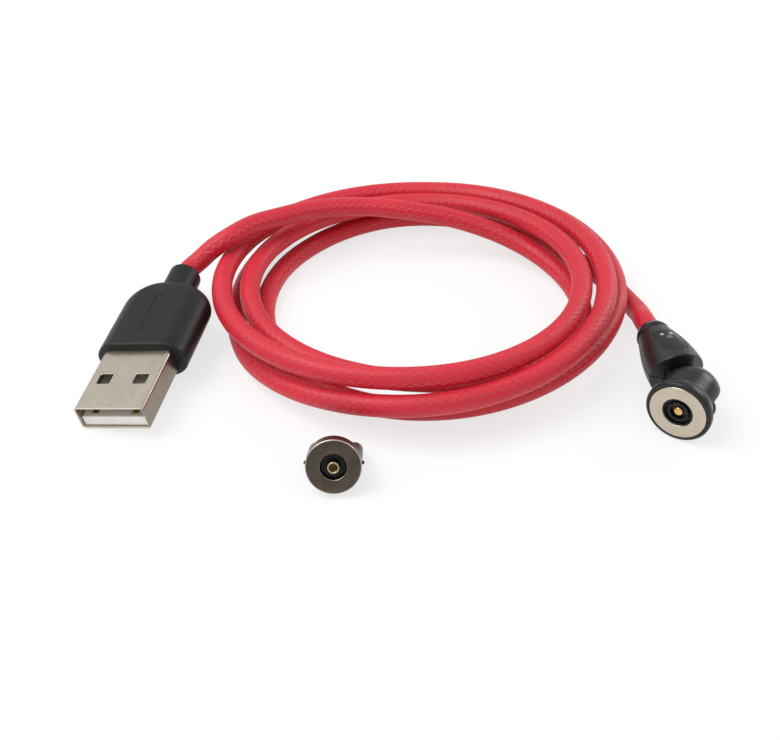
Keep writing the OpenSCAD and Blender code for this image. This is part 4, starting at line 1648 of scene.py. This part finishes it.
    def build(self) -> None:
        """Makes the plug's pieces."""
        place, body = LAYOUT.plug(), Body.CORD_AND_PLUG
        make_piece(self.shell(), "usb_shell_sheet", place, body, SHEET, "usb_shell")
        make_piece(self.tongue(), "usb_tongue_moulding", place, body, TONGUE, "usb_tongue")
        make_piece(self.contact(1), "usb_power_strip", place, body, GOLD, "usb_power_contact")
        make_piece(self.contact(-1), "usb_ground_strip", place, body, GOLD, "usb_ground_contact")
        make_piece(self.housing(), "plug_housing_moulding", place, body, HOUSING, "plug_housing")


# ---- sleeve and collar -------------------------------------------------------


@dataclass
class Sleeve:
    """Tapered sleeve that turns on the cord's end, with its panel of lights."""

    d: float = 9.1
    end_d: float = 5.8
    front: float = 4.75
    back: float = 15.4
    taper_y: float = 6.0
    edge: float = 0.3
    ball_room_r: float = 4.95
    chamfer_x: float = 2.0
    chamfer_back: float = 1.05
    knuckle_r: float = 2.3
    knuckle_t: float = 3.3
    bush_r: float = 1.36
    bush_floor: float = 0.28
    root: tuple[float, float, float] = (6.4, 5.9, 8.4)
    room: tuple[float, float, float, float] = (5.2, 5.2, 8.6, 12.5)
    spindle_d: float = 3.2
    panel_w: float = 4.0
    panel_len: float = 6.6
    panel_t: float = 0.5
    panel_set: float = 0.06
    light_d: float = 0.7
    lights: tuple[Pair, ...] = ((-0.75, 11.6), (0.75, 11.6))
    sensor: Pair = (0.0, 10.35)
    sensor_d: float = 1.1
    bore_floor: float = 0.5
    lens_floor: float = 2.65
    collar_len: float = 1.8
    collar_gap: float = 0.15
    parting: float = 0.02

    def radius(self, y: float) -> float:
        """Radius of the outside at y.

        Args:
            y: distance along the sleeve from the hinge.

        Returns:
            The radius in millimetres.
        """
        if y < self.taper_y:
            return self.d / 2
        share = (y - self.taper_y) / (self.back - self.taper_y)
        return self.end_d / 2 + (self.d - self.end_d) / 2 * math.cos(math.pi / 2 * share)

    def outside(self, inset: float = 0.0, steps: int = 14) -> Solid:
        """The solid of the outside, shrunk by inset.

        Args:
            inset: how far the solid lies inside the real outside.
            steps: outlines along it.

        Returns:
            The solid in the sleeve's own frame.
        """
        rows = [(0.0, self.front), (self.d / 2 - inset, self.front, self.edge)]
        for i in range(steps + 1):
            y = self.taper_y + (self.back - self.taper_y) * i / steps
            rows.append((self.radius(y) - inset, y))
        return lathe(*rows, (0.0, self.back), closed=False)

    def panel_prism(self, inset: float) -> Solid:
        """Upright prism of the panel's outline, round towards the front, shrunk by inset.

        Args:
            inset: how far the outline is shrunk.

        Returns:
            The prism in the sleeve's own frame.
        """
        half = self.panel_w / 2 - inset
        y_round = self.taper_y + self.panel_w / 2
        y_end = self.taper_y + self.panel_len - inset
        bm = bmesh.new()
        bmesh.ops.create_circle(
            bm, cap_ends=True, segments=64, radius=half, matrix=Matrix.Translation((0, y_round, 0))
        )
        for vert in bm.verts:
            if vert.co.y > y_round + NEAR:
                vert.co.y = y_end
                if abs(vert.co.x) > NEAR:
                    vert.co.x = math.copysign(half, vert.co.x)
        bmesh.ops.remove_doubles(bm, verts=bm.verts, dist=NEAR)
        made = bmesh.ops.extrude_face_region(bm, geom=list(bm.faces))["geom"]
        bmesh.ops.translate(
            bm, vec=(0, 0, self.d), verts=[g for g in made if isinstance(g, bmesh.types.BMVert)]
        )
        bmesh.ops.recalc_face_normals(bm, faces=bm.faces)
        return bm

    def corner(self, turn: float) -> Solid:
        """The tool that chamfers the front on one side, to clear the bent head.

        Args:
            turn: turn of the tool about the sleeve's axis, in radians.

        Returns:
            The tool, to be cut away.
        """
        reach = self.d / 2 + 1
        slope = self.chamfer_back * (reach - self.chamfer_x) / (self.d / 2 - self.chamfer_x)
        bm = bmesh.new()
        bmesh.ops.create_cube(bm, size=1.0)
        for vert in bm.verts:
            outer, deep = vert.co.x > 0, vert.co.y > 0
            y = self.front + (slope if outer else 0.0) if deep else self.front - 1.0
            vert.co = Vector((reach if outer else self.chamfer_x, y, vert.co.z * 2 * self.d))
        return turned(bm, Matrix.Rotation(turn, 4, "Y"))

    def hollows(self) -> list[tuple[Cut, Solid]]:
        """What is cut out of both shells.

        Returns:
            The kind of each cut with its tool, in order.
        """
        ball = bmesh.new()
        bmesh.ops.create_uvsphere(ball, u_segments=64, v_segments=48, radius=self.ball_room_r)
        high = self.knuckle_t + 2 * SEAT
        root_w, root_y0, root_y1 = self.root
        room_w, room_h, room_y0, room_y1 = self.room
        r, end = self.spindle_d / 2 + SEAT, self.back + 1
        cuts = [
            ball,
            self.corner(0.0),
            self.corner(math.pi),
            slab(2 * (self.knuckle_r + SEAT), 0, root_y1, high),
            slab(root_w + 2 * SEAT, root_y0 - SEAT, root_y1 + SEAT, high),
            slab(2, root_y1 - 1, room_y0 + 1, high),
            slab(room_w, room_y0, room_y1, room_h),
            lathe((0, room_y1 - 1), (r, room_y1 - 1), (r, end), (0, end), steps=48, closed=False),
        ]
        return [(Cut.TAKE, cut) for cut in cuts]

    def bores(self) -> list[tuple[Cut, Solid]]:
        """Bores of the light guides."""
        places = [(self.light_d, at) for at in self.lights] + [(self.sensor_d, self.sensor)]
        return [(Cut.TAKE, bar(d / 2 + FIT, at, self.bore_floor, self.d)) for d, at in places]

    def shell(self, upper: bool) -> Solid:
        """One of the two shells.

        Args:
            upper: the upper shell, or else the lower.

        Returns:
            The shell in the sleeve's own frame.
        """
        cuts = self.hollows()
        far, end = 2 * self.d, 2 * self.back
        if upper:
            under = self.outside(self.panel_t + SEAT)
            pocket = carve(self.panel_prism(0.0), [(Cut.TAKE, under)])
            cuts += [
                (Cut.TAKE, block((-far, -1, -far), (far, end, self.parting))),
                (Cut.TAKE, pocket),
                *self.bores(),
            ]
        else:
            cuts.append((Cut.TAKE, block((-far, -1, -self.parting), (far, end, far))))
        return carve(self.outside(), cuts, voxel=0.085, relax=3)

    def panel(self) -> Solid:
        """Dark panel that lies in the upper shell."""
        skin = (Cut.KEEP, self.outside(self.panel_set)), (Cut.TAKE, self.outside(self.panel_t))
        return carve(self.panel_prism(FIT), [*skin, *self.bores()], voxel=0.055, relax=2)

    def guide(self, d: float, x: float, y: float) -> Solid:
        """One light guide with its domed end.

        Args:
            d: diameter.
            x: place across the panel.
            y: place along the sleeve.

        Returns:
            The guide in the sleeve's own frame.
        """
        floor, top = self.lens_floor, math.sqrt(self.radius(y) ** 2 - x * x) - self.panel_set
        bm = lathe(
            (0.0, floor), (d / 2, floor), (d / 2, top, 0.16), (0.0, top), steps=32, closed=False
        )
        return turned(bm, Matrix.Translation((x, y, 0)) @ Matrix.Rotation(math.pi / 2, 4, "X"))

    def tongue(self) -> Solid:
        """Flat tongue of the hinge with its root and the seats of its bushes.

        Returns:
            The tongue in the sleeve's own frame.
        """
        t = self.knuckle_t / 2
        root_w, root_y0, root_y1 = self.root
        cuts = [
            (Cut.JOIN, slab(2 * self.knuckle_r, 0, root_y1, self.knuckle_t)),
            (Cut.JOIN, slab(root_w, root_y0, root_y1, self.knuckle_t)),
            (Cut.TAKE, bar(self.bush_r, (0, 0), self.bush_floor, 5)),
            (Cut.TAKE, bar(self.bush_r, (0, 0), -5, -self.bush_floor)),
        ]
        return carve(bar(self.knuckle_r, (0, 0), -t, t), cuts, voxel=0.09, relax=2)

    def collar(self) -> Solid:
        """Short collar that grips the cord behind the sleeve.

        Returns:
            The collar in the sleeve's own frame.
        """
        y0 = self.back + self.collar_gap
        y1, floor = y0 + self.collar_len, y0 + self.collar_len - 1.0
        bore, neck, r = CORD_D / 2 + FIT, self.spindle_d / 2 + FIT, self.end_d / 2
        return lathe(
            (neck, y0), (r, y0, 0.2), (r, y0 + 0.4 * self.collar_len, 0.9),
            (CORD_D / 2 + 0.6, y1, 0.25), (bore, y1), (bore, floor), (neck, floor),
        )

    def build(self) -> None:
        """Makes the sleeve's pieces and the collar."""
        place, body = LAYOUT.sleeve(), Body.SLEEVE
        for side, upper in (("upper", True), ("lower", False)):
            name, node = f"sleeve_{side}_half", f"sleeve_{side}_shell"
            make_piece(self.shell(upper), name, place, body, SHELLS, node)
        make_piece(self.panel(), "indicator_window", place, body, PANEL, "indicator_panel")
        guides = joined(self.guide(self.light_d, *at) for at in self.lights)
        make_piece(guides, "indicator_light_guides", place, body, LENS, "indicator_lenses")
        sensor = self.guide(self.sensor_d, *self.sensor)
        make_piece(sensor, "indicator_sensor_guide", place, body, SMOKED_LENS, "indicator_lenses")
        tongue, cord = self.tongue(), Body.CORD_AND_PLUG
        make_piece(tongue, "hinge_tongue_moulding", place, body, HEAD_PLASTIC, "hinge_tongue")
        make_piece(self.collar(), "cord_collar", place, cord, HEAD_PLASTIC, "head_collar")


# ---- magnetic head -----------------------------------------------------------


@dataclass
class Head:
    """Magnetic head: flanged ball, contact ring, insulator and sprung pin."""

    d: float = 10.6
    reach: float = 5.2
    rim_edge: float = 0.4
    face_set: float = 0.1
    wide_y: float = -4.0
    back_y: float = -2.6
    ball_r: float = 4.7
    slot_h: float = 3.5
    slot_y: float = -2.45
    ring_d: float = 9.2
    ring_hole: float = 4.9
    ring_t: float = 0.7
    magnet_t: float = 1.0
    magnet_inset: float = 0.4
    board_t: float = 0.4
    board_inset: float = 0.2
    pin_bore: float = 0.78
    pin_floor: float = 0.3
    pin_reach: float = 4.0
    collar: Pair = (1.75, 1.25)
    collar_h: float = 0.5
    lip_t: float = 0.25
    lip_h: float = 0.55
    floor_set: float = 0.7
    barrel_r: float = 1.0
    pogo_r: float = 0.75
    pogo_set: float = 0.25
    spring_r: float = 0.55
    spring_wire: float = 0.1
    spring_turns: int = 4
    spring_y: Pair = (-4.49, -3.7)
    spring_keep: float = 0.43

    def housing(self) -> Solid:
        """Flanged ball with its slot, the seats in its face and the bores of its pins.

        Returns:
            The housing in the head's own frame.
        """
        rim, face, far = self.d / 2, -self.reach + self.face_set, self.d
        body = lathe(
            (0.0, face),
            (rim, face, self.rim_edge),
            (rim, self.wide_y, 0.35),
            (self.ball_r, self.back_y, 0.5),
            *[(self.ball_r * c, self.ball_r * s) for s, c in arc(24)],
            steps=128,
            closed=False,
        )
        front, ring_r = -self.reach - 1, self.ring_d / 2 + FIT
        ring_y = -self.reach + self.ring_t + FIT
        magnet_r = (self.ring_d - self.magnet_inset) / 2 + FIT
        magnet_y = ring_y + self.magnet_t
        board_r, board_y = magnet_r - self.board_inset, magnet_y + self.board_t
        seats = lathe(
            (0.0, front), (ring_r, front), (ring_r, ring_y), (magnet_r, ring_y),
            (magnet_r, magnet_y), (board_r, magnet_y), (board_r, board_y), (0.0, board_y),
            steps=128, closed=False,
        )
        slot = block((-far, self.slot_y, -self.slot_h / 2), (far, far, self.slot_h / 2))
        pins = [
            bar(self.pin_bore, (0, 0), *sorted((s * self.pin_floor, s * self.pin_reach)), 48)
            for s in (-1, 1)
        ]
        cuts = [(Cut.TAKE, tool) for tool in (seats, slot, *pins)]
        return carve(body, cuts, voxel=0.09, relax=3)

    def ring(self) -> Solid:
        """Contact ring with rounded edges.

        Returns:
            The ring in the head's own frame.
        """
        hole, r = self.ring_hole / 2, self.ring_d / 2
        y0, y1 = -self.reach, -self.reach + self.ring_t
        return lathe((hole, y0, 0.12), (r, y0, 0.16), (r, y1), (hole, y1), steps=128)

    def insulator(self) -> Solid:
        """Insulator with its lip and the raised collar round the pin.

        Returns:
            The insulator in the head's own frame.
        """
        floor, back = -self.reach + self.floor_set, -self.reach + self.ring_t + self.magnet_t
        lip_r, bore = self.ring_hole / 2 - FIT, self.barrel_r + FIT
        (outer, inner), collar_y = self.collar, floor - self.collar_h
        lip_in, lip_y = lip_r - self.lip_t, floor - self.lip_h
        return lathe(
            (bore, back), (bore, floor), (inner, floor), (inner, collar_y, 0.08),
            (outer, collar_y, 0.12), (outer, floor, 0.1), (lip_in, floor, 0.1),
            (lip_in, lip_y, 0.06), (lip_r, lip_y, 0.06), (lip_r, back),
        )

    def pin(self) -> Solid:
        """Sprung pin with its rounded nose."""
        r, tip, back = self.pogo_r, -self.reach + self.pogo_set, -self.reach + self.floor_set
        return lathe((0.0, tip), (r, tip, 0.3), (r, back), (0.0, back), steps=64, closed=False)

    def spring(self) -> Solid:
        """Wound spring behind the pin.

        Returns:
            The spring in the head's own frame.
        """
        wire_r = self.spring_wire / 2
        low, high = self.spring_y[0] + wire_r, self.spring_y[1] - wire_r
        steps = 24 * self.spring_turns
        path = [
            Vector((self.spring_r * c, low + (high - low) * i / steps, self.spring_r * s))
            for i, (s, c) in enumerate(arc(steps, math.tau * self.spring_turns))
        ]
        return solid_of(tube(path, wire_r, 12))

    def build(self) -> None:
        """Makes the head's pieces."""
        place, body = LAYOUT.head(), Body.HEAD
        housing, insulator = self.housing(), self.insulator()
        make_piece(housing, "head_housing_moulding", place, body, HEAD_PLASTIC, "head_housing")
        make_piece(self.ring(), "contact_ring_plated", place, body, RING, "contact_ring")
        name = "centre_insulator_moulding"
        make_piece(insulator, name, place, body, INSULATOR, "centre_insulator")
        make_piece(self.pin(), "sprung_pin", place, Body.CENTRE_PIN, GOLD, "pogo_plunger")
        finish = PLAIN_FINISHES[Slot.SPRING]
        spring = make_piece(self.spring(), "sprung_pin_spring", place, body, finish, "pogo_spring")
        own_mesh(spring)


# ---- magnetic tip ------------------------------------------------------------


@dataclass
class Tip:
    """Separate magnetic tip with its USB-C plug."""

    d: float = 2 * LAYOUT.tip_r
    ring_t: float = 1.6
    hole_d: float = 4.0
    base_t: float = 0.7
    post_d: float = 1.9
    post_y: float = -0.4
    dish: float = 0.16
    floor_y: float = 0.75
    usbc_w: float = 8.34
    usbc_h: float = LAYOUT.usbc_h
    usbc_len: float = LAYOUT.usbc_len
    usbc_wall: float = 0.25
    nose_r: float = 0.2
    lug: tuple[float, float, float] = (0.3, 0.4, 0.1)
    lug_root: float = 0.6
    lug_set: float = 0.02
    board: Pair = (5.7, 1.9)
    board_in: float = 0.25

    def face_ring(self) -> Solid:
        """Steel ring of the face, with rounded edges."""
        hole, r, back = self.hole_d / 2, self.d / 2, self.ring_t
        return lathe((hole, 0.0, 0.14), (r, 0.0, 0.22), (r, back, 0.08), (hole, back), steps=128)

    def insulator(self) -> Solid:
        """Insulating disc round the post, set back in the hole.

        Returns:
            The disc in the tip's own frame.
        """
        inner, outer, back = self.post_d / 2 + FIT, self.hole_d / 2 - FIT, self.ring_t
        return lathe(
            (inner, self.floor_y), (outer, self.floor_y, 0.08), (outer, back), (inner, back)
        )

    def post(self) -> Solid:
        """Centre contact with a raised edge round its end.

        Returns:
            The post in the tip's own frame.
        """
        r, edge, back = self.post_d / 2, self.post_y, self.ring_t
        floor = edge + self.dish
        return lathe(
            (0.0, floor), (r - 0.36, floor, 0.08), (r - 0.24, edge, 0.05), (r - 0.1, edge, 0.06),
            (r, floor, 0.08), (r, back), (0.0, back), steps=64, closed=False,
        )

    def base(self) -> Solid:
        """Moulded base behind the ring, with its two lugs and what is hollow inside.

        Returns:
            The base in the tip's own frame.
        """
        r, y0, y1 = self.d / 2, self.ring_t, self.ring_t + self.base_t
        out, high, mid = self.lug
        cuts = []
        for s in (-1, 1):
            low, top = sorted((s * (r - self.lug_root), s * (r + out)))
            corner = (top, y1 - self.lug_set, mid + high / 2)
            lug = block((low, y0 + self.lug_set, mid - high / 2), corner, 0.06, 2)
            cuts.append((Cut.JOIN, lug))
        board_w, board_h = self.board
        cuts.append((Cut.TAKE, slab(board_w, y0 - 1, y0 + self.board_in, board_h)))
        w, h = self.usbc_w / 2 - self.usbc_wall, self.usbc_h / 2 - self.usbc_wall
        cuts.append((Cut.TAKE, loft([Section(y0 + 0.2, w, h, h), Section(y1 + 1, w, h, h)], 64)))
        disc = lathe((0.0, y0), (r, y0), (r, y1, 0.12), (0.0, y1), steps=128, closed=False)
        return carve(disc, cuts)

    def plug_shell(self) -> Solid:
        """Drawn shell of the device plug, with round sides and a rounded nose.

        Returns:
            The shell in the tip's own frame.
        """
        y0, y1 = self.ring_t + self.base_t, self.ring_t + self.base_t + self.usbc_len
        w, h, t = self.usbc_w / 2, self.usbc_h / 2, self.usbc_wall
        rows = [Section(y0, w, h, h)]
        for s, c in arc(5):
            inset, y = self.nose_r * (1 - c), y1 - self.nose_r + self.nose_r * s
            rows.append(Section(y, w - inset, h - inset, h - inset))
        rows += [Section(y1, w - t, h - t, h - t), Section(y0, w - t, h - t, h - t), rows[0]]
        return loft(rows)

    def build(self) -> None:
        """Makes the tip's pieces."""
        place, body = LAYOUT.tip(), Body.TIP
        make_piece(self.face_ring(), "tip_ring_plated", place, body, TIP_RING, "tip_face_ring")
        make_piece(self.insulator(), "tip_insulator_disc", place, body, INSULATOR, "tip_insulator")
        make_piece(self.post(), "tip_post", place, body, TIP_GOLD, "tip_centre_contact")
        make_piece(self.base(), "tip_base_moulding", place, body, SHELLS, "tip_base")
        make_piece(self.plug_shell(), "tip_plug_sheet", place, body, TIP_SHEET, "tip_plug_shell")


# ---- pieces that keep their CAD shape ----------------------------------------

KEPT: dict[Slot, tuple[str, ...]] = {
    Slot.PREMOULD: ("plug_inner_mould",),
    Slot.POWER_WIRE: ("plug_power_wire", "sleeve_power_wire"),
    Slot.GROUND_WIRE: ("plug_ground_wire", "sleeve_ground_wire"),
    Slot.SOLDER: ("plug_solder_joints",),
    Slot.SPINDLE_BRASS: (
        "swivel_spindle", "ground_brush", "power_brush", "hinge_bushes", "head_contact_leaves",
    ),
    Slot.INSULATOR_WHITE: ("spindle_insulator",),
    Slot.CONTACT_GOLD: ("spindle_centre_pin", "pogo_barrel", "tip_plug_contacts"),
    Slot.LAMP: ("indicator_leds",),
    Slot.BOARD: ("led_board", "head_board", "tip_board"),
    Slot.MAGNET: ("ring_magnet",),
    Slot.PIN_STEEL: ("hinge_pins",),
    Slot.INSULATOR_BLACK: ("tip_plug_insulator",),
}
# The pin's barrel takes gold painted dark brown as shade.
KEPT_APART: dict[str, Finish] = {"pogo_barrel": SHADED_BARREL_GOLD}


def dress_kept() -> None:
    """Gives each CAD node that stays its finish."""
    for slot, nodes in KEPT.items():
        for node in nodes:
            material = KEPT_APART.get(node, PLAIN_FINISHES[slot]).material()
            obj = bpy.data.objects[node]
            obj.data.materials.clear()
            obj.data.materials.append(material)
            log.info("%s keeps its shape, in %s", node, material.name)


def main() -> None:
    """Builds the studio, the cord and the parts on it."""
    logging.basicConfig(level=logging.INFO, format="%(message)s")
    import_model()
    Studio().build()
    Cord().build()
    Plug().build()
    Sleeve().build()
    Head().build()
    Tip().build()
    dress_kept()


if __name__ == "__main__":
    main()
